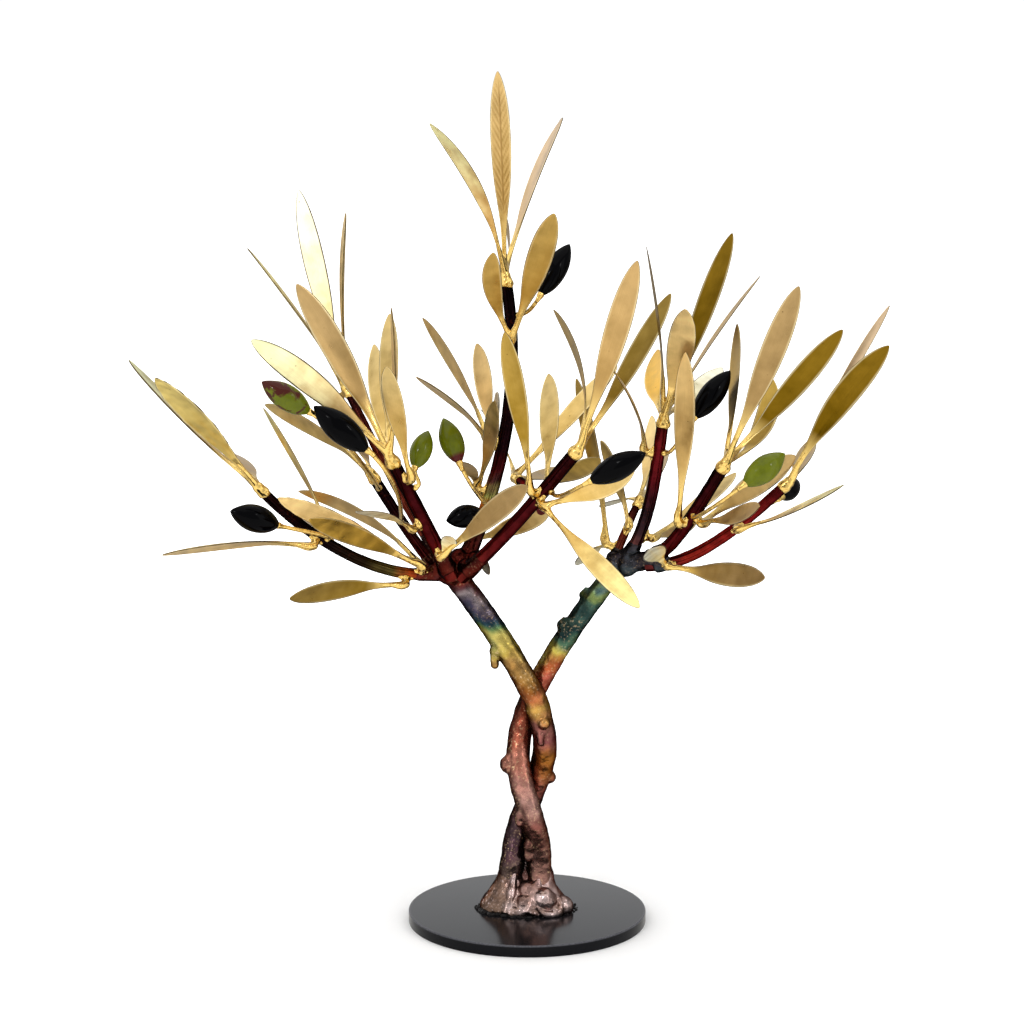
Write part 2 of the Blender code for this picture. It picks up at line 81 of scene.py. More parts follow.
STEM_RINGS = 90
ARM_RINGS = 14
STEM_TAPER = 2.5           # power by which the radius runs from foot to end
STEM_GRIT = (1.6, 0.25)    # size of the fine marks, and their height as a share of the ripples
RIPPLE_SIZE = 5.0          # size of the ripples on stems and boughs
KNOT_SINK = 0.2            # how far the middle of a knot lies under the skin of its stem
KNOT_SOOT = 1.4            # reach of the soot round a knot, in radii of the knot

# Weld knots on a stem: height, bearing (0 right, 90 back, 180 left, 270 front), radius,
# the length of the drip that hangs from it, and how sooty it is
KNOTS = {
    "left": ((94, 190, 2.2, 5.0, 0.1), (70, 282, 2.1, 0.0, 0.0), (65.5, 256, 1.7, 2.6, 0.0),
             (49, 350, 2.0, 1.0, 0.2)),
    "right": ((111, 170, 1.7, 2.0, 0.9), (101, 200, 2.5, 4.5, 1.0), (54.5, 185, 2.7, 1.2, 0.35),
              (38, 200, 1.8, 3.0, 0.5), (27, 215, 2.2, 4.0, 0.8)),
}
# Drip that hangs from a knot: handles of its curve, outwards and upwards of the knot's centre
# and downwards as a share of its length, then the radii along it and at its round end, as
# shares of the knot's radius
DRIP_PATH = ((-1.4, 2.2, 0.0), (0.5, 0.0, 0.0), (0.9, 0.0, 0.6), (0.2, 0.0, 1.0))
DRIP_SHARES = (0.75,) * 5 + (0.62,) * 4
DRIP_END = 0.68
# Painted shade that darkens the sides of each stem that face left and right, as the edges
# of a lit rod fall dark: how dark each side is, and the sideways part of a normal at which
# the painted shade starts and is full
SIDE_SHADE_AMOUNTS = {"left": (0.65, 0.5), "right": (0.8, 0.4)}
SIDE_SHADE_START, SIDE_SHADE_FULL = 0.25, 0.75
# Weld metal where the boughs join: centre and radius
FORK_LUMPS = {
    "left": (((-25.0, -4.0, 120.5), 5.0), ((-22.5, -2.5, 124.5), 3.6), ((-29.5, -5.5, 121.0), 3.4),
             ((-20.0, -7.5, 122.5), 3.0), ((-25.0, 1.5, 123.0), 3.4), ((-17.5, -4.0, 125.0), 2.2),
             ((-26.5, -8.5, 121.5), 2.6)),
    "right": (((29.5, 3.0, 121.0), 4.3), ((33.0, 0.5, 121.5), 3.7), ((32.0, 4.0, 124.5), 2.4),
              ((28.5, 7.0, 123.0), 2.4), ((40.5, -3.0, 124.5), 2.4), ((43.5, -4.0, 122.6), 2.3)),
}
# Root mound: the skirt of molten metal round each stem, as the place of its foot and then
# heights and radii, and after it the folds, the lumps and the rolled lips at the front
SKIRTS = (
    ((-5.9, 0.6), ((21, 3.2), (18, 3.8), (15, 4.5), (12.5, 5.6), (10.5, 7.0), (8.5, 8.6), (6.5, 9.8),
                   (4.5, 10.3))),
    ((4.6, 0.0), ((20, 3.2), (17, 3.8), (14.5, 4.3), (12, 5.2), (9.5, 7.0), (7, 9.3), (4.5, 10.9))),
)
SKIRT_DEPTH = 0.93         # front to back, as a share of the width
# Foot, middle and top of a fold, and its radius
FOLDS = (
    ((-7.2, -8.4, 4.6), (-5.6, -6.0, 10.0), (-4.0, -2.2, 18.0), 1.5),
    ((0.4, -8.8, 4.6), (2.6, -6.4, 10.0), (4.2, -2.4, 17.5), 2.0),
    ((4.6, 9.2, 4.6), (4.4, 6.6, 10.0), (4.4, 3.7, 18.0), 2.2),
    ((-5.0, 9.2, 4.6), (-4.8, 6.8, 9.5), (-4.6, 3.8, 17.0), 2.3),
)
FOLD_RINGS = 10
FOLD_TAPER = (1.2, 0.07)   # share of its radius at the foot, and what each ring takes off
MOUND_LUMPS = (
    ((5.8, -6.6, 9.2), 4.0), ((11.8, -3.8, 6.0), 3.7), ((9.6, -7.4, 5.0), 2.4),
    ((-1.8, -7.6, 5.0), 2.6), ((-4.6, -8.2, 4.8), 2.4), ((0.0, 2.4, 8.0), 6.0),
    ((0.4, -3.4, 11.4), 3.4), ((-0.8, -6.0, 7.4), 3.3),
)
# Rolled lips: centre, ring radius, thickness, lean forward and turn
LIPS = (
    ((7.4, -7.7, 7.7), 3.7, 0.95, 52, 14), ((13.0, -4.8, 6.2), 2.2, 0.85, 60, 36),
)
# Painted highlights where the light catches the weld, and painted shade in the gap between
# the stems and in the crevice by the front lip: centre, reach and strength
PAINTED_HIGHLIGHTS = (
    ((4.8, -10.0, 11.0), 2.6, 0.95), ((8.0, -10.6, 5.0), 1.9, 0.9), ((-3.8, -4.8, 15.5), 1.9, 0.8),
    ((-4.8, -6.6, 11.5), 1.7, 0.7), ((-5.8, -8.6, 7.0), 1.7, 0.7), ((-1.6, -9.6, 6.0), 2.0, 0.6),
    ((9.6, -4.8, 11.0), 1.9, 0.75), ((13.4, -6.4, 7.4), 1.7, 0.7), ((6.2, -4.6, 14.8), 2.2, 0.65),
)
PAINTED_SHADE_SPOTS = (((0.2, -1.6, 20.0), 4.6, 1.0), ((0.6, -2.6, 16.0), 2.2, 0.7), ((8.8, -9.4, 8.6), 1.0, 0.9))
# Weld between the stems, from the mound up to the lower crossing: height and radius
SEAM = ((6, 3.4), (12, 2.8), (17, 2.2), (24, 2.1), (32, 1.9), (38, 1.6))
SEAM_DEPTH = 1.8           # how far behind the pair's axis it runs
MOUND_FOOT = 3.95          # height at which the mound is cut flat over the disc
EDGE_BEADS = 150           # ragged beads of burnt flux round the edge of the mound
EDGE_REACH = (16.0, 10.5)  # half width and half depth of that edge
EDGE_HEIGHT = 4.1
EDGE_WANDER = (0.9, 1.07)  # least and greatest reach of a bead, as a share of the edge's
EDGE_RADII = (0.25, 0.62)  # least and greatest radius of a bead
EDGE_HEAVY = (0.8, 1.1, 200)  # share of the radius all round, what is added, and where

# Boughs: root, first handle, second handle and tip of one smooth curve, then the
# radius at the root and at the tip, and the name of its heat colours
BOUGHS = {
    "left_low": ((-29, -5, 120), (-49, -9, 118), (-71, -16, 134), (-85, -22, 150), 2.0, 1.7, "straw"),
    "left_front": ((-26, -9, 122), (-31, -15, 134), (-37, -22, 148), (-43, -30, 161), 2.5, 2.2, "wine"),
    "left_middle": ((-31, 0, 122), (-38, -3, 131), (-44, -6, 142), (-50, -8, 152), 1.9, 1.8, "dark"),
    "left_back": ((-29, 5, 123), (-43, 13, 142), (-51, 21, 159), (-60, 28, 175), 1.6, 1.4, "rust"),
    "centre_tall": ((-20, 0, 125), (-7, 0, 153), (-2, 1, 185), (-7, 2, 215), 2.4, 1.9, "banded"),
    "centre_front": ((-20, -8, 121), (-7, -15, 134), (4, -22, 149), (15, -30, 164), 2.4, 2.2, "wine"),
    "centre_back": ((4, -15, 144), (3, -8, 146), (0, 2, 148), (-3, 8, 149), 1.6, 1.5, "red"),
    "right_tall": ((33, 3, 124), (41, 0, 136), (42, -3, 155), (44, -6, 170), 2.1, 2.0, "scaled"),
    "right_back": ((29, 9, 123), (32, 13, 128), (34, 18, 133), (37, 22, 138), 1.5, 1.4, "rust"),
    "right_front": ((42, -3, 126), (48, -10, 129), (55, -19, 145), (62, -28, 159), 2.3, 2.1, "wine"),
    "right_low": ((42, -3.4, 122.4), (55, -8, 124), (70, -10, 137), (83, -12, 150), 2.0, 1.8, "red"),
}
FORK_BOUGHS = {
    "left": ("left_low", "left_front", "left_middle", "left_back", "centre_tall", "centre_front"),
    "right": ("right_tall", "right_back", "right_front", "right_low"),
}
WELD_SHARE = 0.14          # share of a bough that its weld covers
BOUGH_RINGS = 60
BOUGH_SINK = 3.0           # how far a bough's root runs into the weld
WELD_RINGS = 6
WELD_RISE = (0.7, 0.1)     # what the weld adds to a bough's radius, and what each ring takes off

# Sides of a bough on which something is brazed
SIDES = {
    "front": (0, -1, 0), "back": (0, 1, 0), "left": (-1, 0, 0), "right": (1, 0, 0),
    "below": (0, 0, -1), "front above": (0, -1, 1), "front below": (0, -1, -1),
    "back above": (0, 1, 1), "left front": (-1, -1, 0), "right front": (1, -1, 0),
}
BEAD_RADIUS = 1.9          # the bead that a spray's leaves are brazed into
GAP = 0.3                  # its clearance from the bough in the CAD model
# Collar at a bough's tip: place along the bough from its tip, and what it adds to the radius
COLLAR = ((-1.2, 0.15), (-0.5, 0.45), (0.9, 0.25))
COLLAR_BLOB = Vector((0.8, -0.8, 0))  # where a blob of braze stands out of the collar
NECK_RADII = (1.7, 1.2)    # of a joint on a bough's side, at the bough and at the bead
FOOT_SPREAD, FOOT_RADII = 2.6, (0.7, 1.2, 0.7)  # and how its foot runs along the bough
# Root of a leaf in its joint: shares of the leaf's length, and the metal's radius at each
ROOT_SHARES = (0.0, 0.07, 0.14, 0.22)
ROOT_RADII = (1.15, 0.95, 0.85, 0.55)
WEB_RADII = (1.6, 1.45, 1.3, 1.15, 1.0, 0.9, 0.75)  # and of the web that fills the fork


class Leaf(NamedTuple):
    """One leaf, from its bead."""
    lean: float            # from upright, to the right
    toward: float          # turn towards the front
    length: float
    width: float = 8.6
    roll: float = 20       # about its own line
    sway: float = 0        # how far its middle stands to the right
    # tone of its brass, which paints how brightly the leaf catches the light
    brass: str = "tan"
    form: str = "plain"


# Sprays: bough, place along it, side ("tip" for its end), then the leaves
SPRAYS = {
    "left_low_tip": ("left_low", 1.0, "tip", (
        Leaf(-48, -18, 61, 7.6, -84, brass="pale"),
        Leaf(-37, 28, 55, roll=25, brass="straw", form="beaten"), Leaf(-75, -75, 50, 8.0, 85))),
    "left_low_outer": ("left_low", 0.66, "front below", (
        Leaf(-86, 36, 56, roll=62, sway=0.5, brass="lit"),)),
    "left_low_upper": ("left_low", 0.60, "back above", (
        Leaf(-30, -20, 48, 5.0, 60, brass="bright"), Leaf(-100, -68, 46, 8.0, 80))),
    "left_low_base": ("left_low", 0.10, "front above", (
        Leaf(-58, 38, 52, brass="rich"), Leaf(-64, -29, 54, 8.0, 48, 3),
        Leaf(-60, 20, 56, brass="lit", form="beaten"))),
    "left_low_under": ("left_low", 0.18, "front below", (
        Leaf(-87, 42, 48, 8.4, brass="olive"),)),
    "left_back_tip": ("left_back", 1.0, "tip", (
        Leaf(-13, -3, 68, sway=-1, brass="white"), Leaf(-37, -19, 60, 8.0, 80, brass="bright"),
        Leaf(1, 8, 60, 8.0, 80, -2.5, "lit"), Leaf(-25, -72, 55, 8.0, 85), Leaf(-155, -30, 14, 5.0))),
    "left_middle_tip": ("left_middle", 1.0, "tip", (
        Leaf(-64, -38, 52, 8.0, 45, 1, "gold"), Leaf(-60, -76, 48, 8.0, 85))),
    "left_front_tip": ("left_front", 1.0, "tip", (
        Leaf(-48, 8, 58, 8.8, -8, 2, "pale"), Leaf(-30, -20, 65, 9.2, 5, 1, "dusk"),
        Leaf(2, 26, 56, 8.0, 80, brass="lit"), Leaf(-2, -42, 56, 8.0, 30, -1, "gold"),
        Leaf(-12, -50, 50, 7.8, 30, -1.5, "gold"))),
    "left_front_outer": ("left_front", 0.86, "right front", (
        Leaf(-9, 33, 48, 7.4, 25, -1, "gold"),)),
    "left_front_side": ("left_front", 0.48, "left front", (
        Leaf(-55, 59, 40, 6.0, 40, brass="white"),)),
    "top": ("centre_tall", 1.0, "tip", (
        Leaf(-2, 9, 67, 7.2, 10, brass="tan", form="veined"), Leaf(-25, 26, 62, 5.4, 25, 3.5, "pale"),
        Leaf(21, -31, 62, 8.0, 68, -3, "grey"), Leaf(0, -74, 52, 7.6, 88))),
    "upper": ("centre_tall", 0.80, "front", (
        Leaf(17, 36, 56, 8.8, 8, brass="honey"), Leaf(-11, 32, 36, 6.8, 15, -3, "honey"))),
    "centre_left": ("centre_tall", 0.42, "left", (
        Leaf(-32, -39, 56, 8.0, 58, 0.3, "lit"), Leaf(-41, 46, 50, 8.0, 64, 0.3, "lit"),
        Leaf(-10, -56, 50, 7.4, 28), Leaf(10, -80, 52, 8.0, 85))),
    "centre_low": ("centre_tall", 0.24, "left", (
        Leaf(10, 42, 46, 6.6, 36), Leaf(-23, 45, 17, 6.0, 30))),
    "centre_front_upper": ("centre_front", 0.68, "front above", (
        Leaf(-9, 20, 58, 7.4, brass="olive"),)),
    "centre_front_lower": ("centre_front", 0.66, "front below", (
        Leaf(59, 34, 41, 8.8, 8, 2.4, "gold"), Leaf(130, 46, 56, 7.4, brass="bright"))),
    "centre_front_rear": ("centre_front", 0.70, "back", (
        Leaf(2, -56, 54, 8.0, 30, brass="gold"), Leaf(79, -59, 36, 7.0, 45, brass="olive"))),
    "centre_back_tip": ("centre_back", 1.0, "tip", (
        Leaf(46, -34, 58, 8.0, 46, -1, "gold"), Leaf(-38, -70, 56, 8.0, 80),
        Leaf(100, -66, 48, 8.0, 80))),
    "centre_front_tip": ("centre_front", 1.0, "tip", (
        Leaf(16, 13, 65, 8.8, 22, brass="warm"), Leaf(33, -27, 62, 8.0, 42, brass="moss"),
        Leaf(-11, -42, 55, 8.0, 80, 4, "gold"))),
    "right_back_base": ("right_back", 0.15, "left", (
        Leaf(-11, -32, 62, 8.0, 53, brass="olive"), Leaf(-141, -59, 30, 6.0, 40, brass="white"))),
    "right_back_side": ("right_back", 0.50, "front", (
        Leaf(-20, -50, 40, 7.0, 52, brass="olive"),)),
    "right_tall_tip": ("right_tall", 1.0, "tip", (
        Leaf(-7, 17, 60, 8.0, 87, brass="olive"), Leaf(-1, -68, 45, 8.0, 38, -3, "rich"),
        Leaf(7, 39, 50, 9.4, 5, 1, "lit"), Leaf(22, -22, 67, 8.4, 38, -0.5, "amber"),
        Leaf(37, -25, 60, 5.5, 84, -2.4), Leaf(64, -61, 50, 8.0, 50, brass="white"))),
    "right_tall_side": ("right_tall", 0.78, "left", (
        Leaf(-21, 44, 46, 7.0, 84, 0.7, "gold"),)),
    "right_tall_base": ("right_tall", 0.20, "right", (
        Leaf(63, -49, 52, 8.0, 66, brass="gold"), Leaf(88, -62, 36, 6.0, 40))),
    "right_front_upright": ("right_front", 0.52, "left front", (
        Leaf(1, 10, 58, 8.0, 28),)),
    "right_front_under": ("right_front", 0.60, "below", (
        Leaf(64, -44, 52, 8.8, 8), Leaf(51, 63, 44, 7.0, 60))),
    "right_back_tip": ("right_back", 1.0, "tip", (
        Leaf(14, -61, 48, 7.5, 60, brass="gold"), Leaf(-124, -65, 34, 7.5, 60, brass="white"),
        Leaf(50, -74, 52, 8.0, 85))),
    "right_low_base": ("right_low", 0.12, "front", (
        Leaf(-35, 60, 24, 8.8, 0, brass="white", form="folded"),
        Leaf(87, 42, 40, 8.6, 26, brass="dusk"))),
    "right_low_side": ("right_low", 0.64, "front", (
        Leaf(57, 40, 48, 5.0, 82, brass="pale"),)),
    "right_front_tip": ("right_front", 1.0, "tip", (
        Leaf(8, -41, 54, 8.0, 70, -0.5, "olive"), Leaf(20, 13, 63, brass="dusk"),
        Leaf(45, -26, 62, roll=34, brass="amber"), Leaf(39, -54, 48, 8.0, 42, 4.5, "olive"))),
    "right_low_tip": ("right_low", 1.0, "tip", (
        Leaf(30, -8, 66, 5.6, 64, -1.5, "grey"), Leaf(32, 18, 58, 9.0, 8, -2, "amber", "folded"),
        Leaf(60, -74, 50, 8.0, 85))),
    "left_fork_front": ("left_front", 0.20, "front", (
        Leaf(45, 34, 48, 8.4, 26, -0.8, "dusk"), Leaf(26, 40, 12, 5.6, 0, brass="white"))),
    "left_fork_rear": ("centre_tall", 0.05, "back", (
        Leaf(82, -52, 42, 8.0, 42, brass="gold"), Leaf(150, 42, 15, 3.0, 0, brass="white"),
        Leaf(20, -72, 50, 8.0, 80))),
}

# Half width and half thickness of a leaf of the nominal size, at shares of its length
LEAF_LENGTH = 60.0
LEAF_WIDTH = 8.6
LEAF_STATIONS = (
    (0.00, 1.05, 0.90), (0.06, 0.98, 0.74), (0.13, 0.95, 0.62), (0.20, 1.05, 0.52),
    (0.265, 1.48, 0.44), (0.33, 2.15, 0.40), (0.42, 3.20, 0.38), (0.52, 3.95, 0.38),
    (0.64, 4.30, 0.38), (0.75, 4.18, 0.38), (0.85, 3.55, 0.37), (0.92, 2.60, 0.34),
    (0.965, 1.60, 0.28), (0.99, 0.75, 0.22), (1.00, 0.20, 0.16),
)
LEAF_SIDES = 12            # of the outline that a leaf is drawn out of, before it is smoothed
SHEET_SQUARENESS = 0.4     # how square the edges of the sheet are: 1 is round, 0 is square
STALK_END = 0.24           # share of the length where the stalk opens into the blade
LEAF_CURL = 1.5            # how far the middle of the blade stands out of straight
BLADE_OPENING = 0.15       # share of the length over which the blade opens
ROLL_END = 0.08            # and over which the roll goes on past the stalk's end
ROOT_ROLL = 0.35           # share of the roll that the root has already
FOLD_RISE = 1.7            # how far the edges of a folded leaf rise
LIFT_RANGE = (0.3, 1.3)    # least and greatest dish of a blade, as a share of its pattern's
BRUSHING_UNIT = 10         # millimetres in one unit of the map that the brushed lines follow
# Engraved veins: half width of the midrib, spacing and slant of the side veins, and depth
MIDRIB, VEIN_SPACING, VEIN_SLANT, VEIN_DEPTH = 0.3, 2.6, 1.6, 0.5
DENT_SIZE = 2.6            # size of a hammer mark

# Olives: bough, place along it, side, where the wire enters the olive, then the olive's
# lean, turn towards the front, length and width, and its enamel
OLIVES = {
    "left_outer": ("left_low", 0.62, "front above",
        (-79.7, -27, 140), -67, 28, 18, 9.2, "black"),
    "left_mottled": ("left_middle", 0.92, "front",
        (-68, -44, 179), -56, 8, 18, 8.4, "mottled"),
    "left_large": ("left_middle", 0.55, "front",
        (-50, -45, 167), -50, 0, 22, 9.5, "black"),
    "left_small": ("left_front", 0.75, "right",
        (-36.5, -18, 157), 21, -30, 14, 7.4, "green"),
    "centre_green": ("centre_tall", 0.20, "front",
        (-22, -14, 158), -21, -20, 16, 8.1, "ripening"),
    "centre_hidden": ("centre_tall", 0.16, "left front",
        (-14.5, -8, 141), -100, 20, 13, 7.9, "black"),
    "centre_large": ("centre_front", 0.74, "right front",
        (19, -52, 158.5), 61, 10, 20, 8.6, "black"),
    "top": ("centre_tall", 0.88, "right",
        (4, -5, 211.5), 31, -21, 20, 8.2, "black"),
    "right_upper": ("right_tall", 0.80, "right front",
        (53.5, -13, 172.5), 39, -17, 20, 8.2, "black"),
    "right_green": ("right_front", 0.62, "front",
        (68, -38, 155), 55, -18, 17, 8.7, "green"),
    "right_outer": ("right_low", 0.76, "back",
        (83.5, 0, 144.5), 60, -60, 14, 7.2, "black"),
}
# Half width of an olive, as a share of its greatest, at shares of its length
OLIVE_STATIONS = (
    (0.03, 0.26), (0.08, 0.44), (0.16, 0.66), (0.27, 0.86), (0.40, 0.98), (0.52, 1.00),
    (0.64, 0.93), (0.76, 0.76), (0.86, 0.53), (0.94, 0.29), (0.98, 0.13),
)
OLIVE_SIDES = 16           # of the outline that an olive is drawn out of
OLIVE_ENDS = (0.25, 0.12)  # radius of its foot and of its tip
WIRE_RISE = 3.0            # how far a wire first stands out from its bough
WIRE_RINGS = 24
WIRE_SINK = 0.08           # share of the olive's length that the wire runs into it
WIRE_SPARE = 1.2           # share of its radius with what the smoothing takes off it
WIRE_BLOB = 1.2            # radius of the blob that holds it on the bough
# Cup that holds an olive: place along the olive from its foot, and radius
CUP = ((-2.6, 0.7), (-1.2, 0.85), (0.3, 1.25), (1.1, 1.15))

# How molten metal is fused: fineness of its skin in millimetres, and passes of smoothing
MOUND_MELT, FLUX_MELT, STEM_MELT = (0.3, 14), (0.25, 1), (0.34, 20)
JOINT_MELT, WIRE_MELT = (0.28, 6), (0.25, 3)
# Marks on a surface: their size, and their height from trough to crest
MOUND_MARKS = ((6.0, 1.3), (1.6, 0.22))
FLUX_MARKS, JOINT_MARKS, OLIVE_MARKS, WIRE_MARKS = (0.7, 0.8), (1.8, 0.15), (5.0, 0.2), (1.4, 0.15)

# Colours, sRGB, from the stem's foot to its fork: height in mm and colour
STEM_HEAT = {
    "left": ((4, "#8C6A66"), (18, "#5E4E48"), (24, "#5C4048"), (30, "#46363A"), (38, "#4E2A28"),
             (45, "#8E5044"), (54, "#A06426"), (62, "#925454"), (67, "#8E5A50"), (70, "#B07A4A"),
             (74, "#B89048"), (77, "#A4603A"), (81, "#865024"), (85, "#946A34"), (90, "#9A7844"),
             (94, "#B29848"), (98, "#B0A45A"), (100.5, "#607A4A"), (103, "#28464C"), (106, "#2E3A4A"),
             (108.5, "#3A3444"), (111.5, "#84787A"), (114, "#54363A"), (118, "#5A2018"),
             (123, "#46140F"), (129, "#2A1210")),
    "right": ((4, "#9A7468"), (19, "#926A60"), (24, "#8A6258"), (29, "#7C5248"), (34, "#7A4A42"),
              (42, "#A67E74"), (50, "#A87468"), (58, "#A86A58"), (65, "#B0604A"), (72, "#4A1A0C"),
              (78, "#8E4230"), (84, "#B05A48"), (88, "#A65632"), (92, "#B8A84E"), (96, "#4E6C54"),
              (101, "#1C3436"), (105, "#364C44"), (108.5, "#3E584A"), (111, "#74844A"), (113, "#4A6460"),
              (116, "#5E6E6A"), (119, "#3C484A"), (123, "#34363C"), (127, "#2C2428")),
}
# And of the mound, from the disc upwards; the two top colours are painted shade between the stems
MOUND_HEAT = ((4, "#140E0E"), (5, "#3E2E2A"), (6.5, "#7C655C"), (12, "#8C6E66"), (15.5, "#7A544C"),
              (18.5, "#42241F"), (21, "#100808"))
# Heat colours along a bough, from its root to its tip
BOUGH_HEAT = {
    "wine": ((0.0, "#5A1A16"), (0.25, "#4E1012"), (0.6, "#380A0E"), (1.0, "#1C0608")),
    "red": ((0.0, "#4A1C1C"), (0.3, "#7A1E16"), (0.7, "#6A1414"), (1.0, "#3A0A0C")),
    "dark": ((0.0, "#4A1614"), (0.35, "#2A0A0C"), (0.7, "#120608"), (1.0, "#0C0406")),
    "rust": ((0.0, "#5A2A20"), (0.4, "#5E2418"), (0.75, "#3C1410"), (1.0, "#160607")),
    "scaled": ((0.0, "#6A3A34"), (0.22, "#2A1A1E"), (0.42, "#1C1014"), (0.62, "#4A0E14"),
               (0.85, "#5C1216"), (1.0, "#300A0C")),
    "straw": ((0.0, "#8A2A14"), (0.16, "#8C3A18"), (0.26, "#4E4420"), (0.40, "#22180E"),
              (0.6, "#0E0608"), (1.0, "#140608")),
    "banded": ((0.0, "#4E1412"), (0.14, "#6A1E16"), (0.20, "#A8621E"), (0.25, "#8A8A48"),
               (0.29, "#4A2A28"), (0.34, "#3A0A0E"), (0.42, "#14060A"), (1.0, "#0A0508")),
}
# Brass at the root and at the tip of a blade. The tones are lit and shaded copies of one brass,
# each painting how brightly its leaves catch the light over the brass's own colour, and the
# lighter tip is painted light
BRASS = {
    "white": ("#F2E2A6", "#FFFCE6"), "pale": ("#E4BE7C", "#FFFFC8"), "bright": ("#D8B468", "#FFEFA4"),
    "lit": ("#F0C87C", "#FFDE9A"), "straw": ("#B49C56", "#C4B06A"),
    "gold": ("#D2AE60", "#DCC080"), "rich": ("#D8A83E", "#E2B44C"), "honey": ("#B48E42", "#C6A45A"),
    "tan": ("#BE9C5E", "#CCAC72"), "warm": ("#AE8C54", "#B89864"), "dusk": ("#967A4C", "#A68A5C"),
    "grey": ("#B4966A", "#C4AA88"), "olive": ("#967626", "#A88A42"), "moss": ("#785E20", "#866E34"),
    "amber": ("#664C08", "#785C16"),
}
# How much oiled and dry steel mirror, and the black and the green enamel
OILED, DRY = 0.5, 0.07
BLACK_SHEEN, GREEN_SHEEN = 0.04, 0.15
# Marks on the sheet: pits, engraved grooves, the rubbed rim with its painted highlight, the
# cut edge darkened as a painted shade outline, and the stalk, which is washed with brazing brass
PIT, GROOVE, RIM_HIGHLIGHT, EDGE_SHADE, WASHED = "#4A3418", "#7A5418", "#FFF4C8", "#46340F", "#DCBE74"
# Where the painted shade along the cut edge starts, from 0 at the midrib to 1 at the edge: a
# little further in on the palest leaves
EDGE_SHADE_FROM = {lit_tone: 0.84 if lit_tone in {"white", "pale"} else 0.9 for lit_tone in BRASS}

# Soft boxes: name, place, width and height in metres, and brightness in watts
SOFT_BOXES = (
    ("key", (-1.10, -0.95, 0.80), 1.6, 1.6, 5.0),
    ("top", (0.10, 0.10, 1.50), 2.0, 2.0, 10.5),
    ("fill", (1.15, -0.65, 0.60), 0.6, 1.2, 2.4),
    ("rim", (-1.05, 0.95, 0.70), 1.1, 1.1, 4.2),
    ("spark", (-0.55, -1.05, 0.95), 0.11, 0.11, 1.5),
    ("glint", (0.85, -0.80, 0.85), 0.10, 0.20, 1.1),
)
AIM = Vector((0, 0, 0.14))     # what they point at
PAPER_LIGHT = 1.05             # brightness of the backdrop as the camera sees it
FLOOR_RADIUS = 6.0             # metres


def linear(code):
    """Turn an sRGB hex colour into linear red, green and blue."""
    shares = [int(code[start:start + 2], 16) / 255 for start in (1, 3, 5)]
    return tuple(share / 12.92 if share <= 0.04045 else ((share + 0.055) / 1.055) ** 2.4
                 for share in shares)


def opaque(colour, strength=1.0):
    """A full-cover colour for a shader, from sRGB hex or from linear red, green and blue,
    lighter or darker by its strength."""
    rgb = linear(colour) if isinstance(colour, str) else colour
    return (*[part * strength for part in rgb], 1.0)


def length_setting(name, description, millimetres):
    """A length that a user may change, given here in millimetres."""
    return bpy.props.FloatProperty(name=name, description=description, default=millimetres * MM,
                                   min=0.0, unit="LENGTH")


def colour_setting(name, description, code):
    """A colour that a user may change, given here as sRGB hex."""
    return bpy.props.FloatVectorProperty(name=name, description=description, size=3, min=0.0,
                                         max=1.0, subtype="COLOR", default=linear(code))


def number_setting(name, description, value):
    """A plain number that a user may change."""
    return bpy.props.FloatProperty(name=name, description=description, default=value, min=0.0)


class OLIVETREE_PG_disc(bpy.types.PropertyGroup):
    """The round steel base."""
    top_bevel: length_setting("Top bevel", "Width of the bevel round the upper edge", 0.5)
    foot_bevel: length_setting("Foot bevel", "Width of the bevel round the lower edge", 0.35)
    face: colour_setting("Face", "Blackened steel of the flat face", "#0C0C0E")
    # steel rubbed bare along the bevel, which also paints the bevel's highlight
    edge: colour_setting("Edge", "Steel that shows where the bevel is rubbed", "#6A6A70")


class OLIVETREE_PG_trunk(bpy.types.PropertyGroup):
    """The two twisted stems and their root mound."""
    foot_radius: length_setting("Foot radius", "Radius of a stem at its foot", 4.15)
    left_end: length_setting("Left end", "Radius of the left stem at its fork", 3.9)
    right_end: length_setting("Right end", "Radius of the right stem at the end of its arm", 3.1)
    ripple: length_setting("Ripple", "Height of the ripples that the torch left, trough to crest", 0.7)
    # copper that shines through, and painted glints
    fleck: colour_setting("Flecks", "Copper that shines through the heat colours", "#E6C69A")
    # colour of the painted highlights on the weld, and of its flecks
    painted_gleam: colour_setting("Gleam", "Bare silvery weld metal", "#DCC4C0")
    skirt: colour_setting("Skirt", "Tan heat colour on the left of the mound", "#665244")
    # soot round the knots, and painted shade in the gap of the mound and on the stems' sides
    soot_and_shade: colour_setting("Soot", "Soot in the folds, on the knots and on the sides", "#0C0C0E")


class OLIVETREE_PG_boughs(bpy.types.PropertyGroup):
    """The copper rods."""
    ripple: length_setting("Ripple", "Height of the waves along a rod, trough to crest", 0.24)
    fleck: colour_setting("Flecks", "Copper that shines through the dark skin", "#8A3A28")


class OLIVETREE_PG_leaves(bpy.types.PropertyGroup):
    """The brass leaves and the joints that hold them."""
    cup: length_setting("Cup", "How far the edges of a blade rise", 0.55)
    twist: bpy.props.FloatProperty(name="Twist", description="Greatest twist of a blade along its length",
                                   default=math.radians(9), subtype="ANGLE")
    dent: length_setting("Dents", "Height of the marks on a beaten leaf, trough to crest", 0.7)
    braze: colour_setting("Braze", "Melted brass of the joints", "#E0BE6E")
    hollow: colour_setting("Hollows", "Browner brass in the hollows of the joints", "#8A6424")


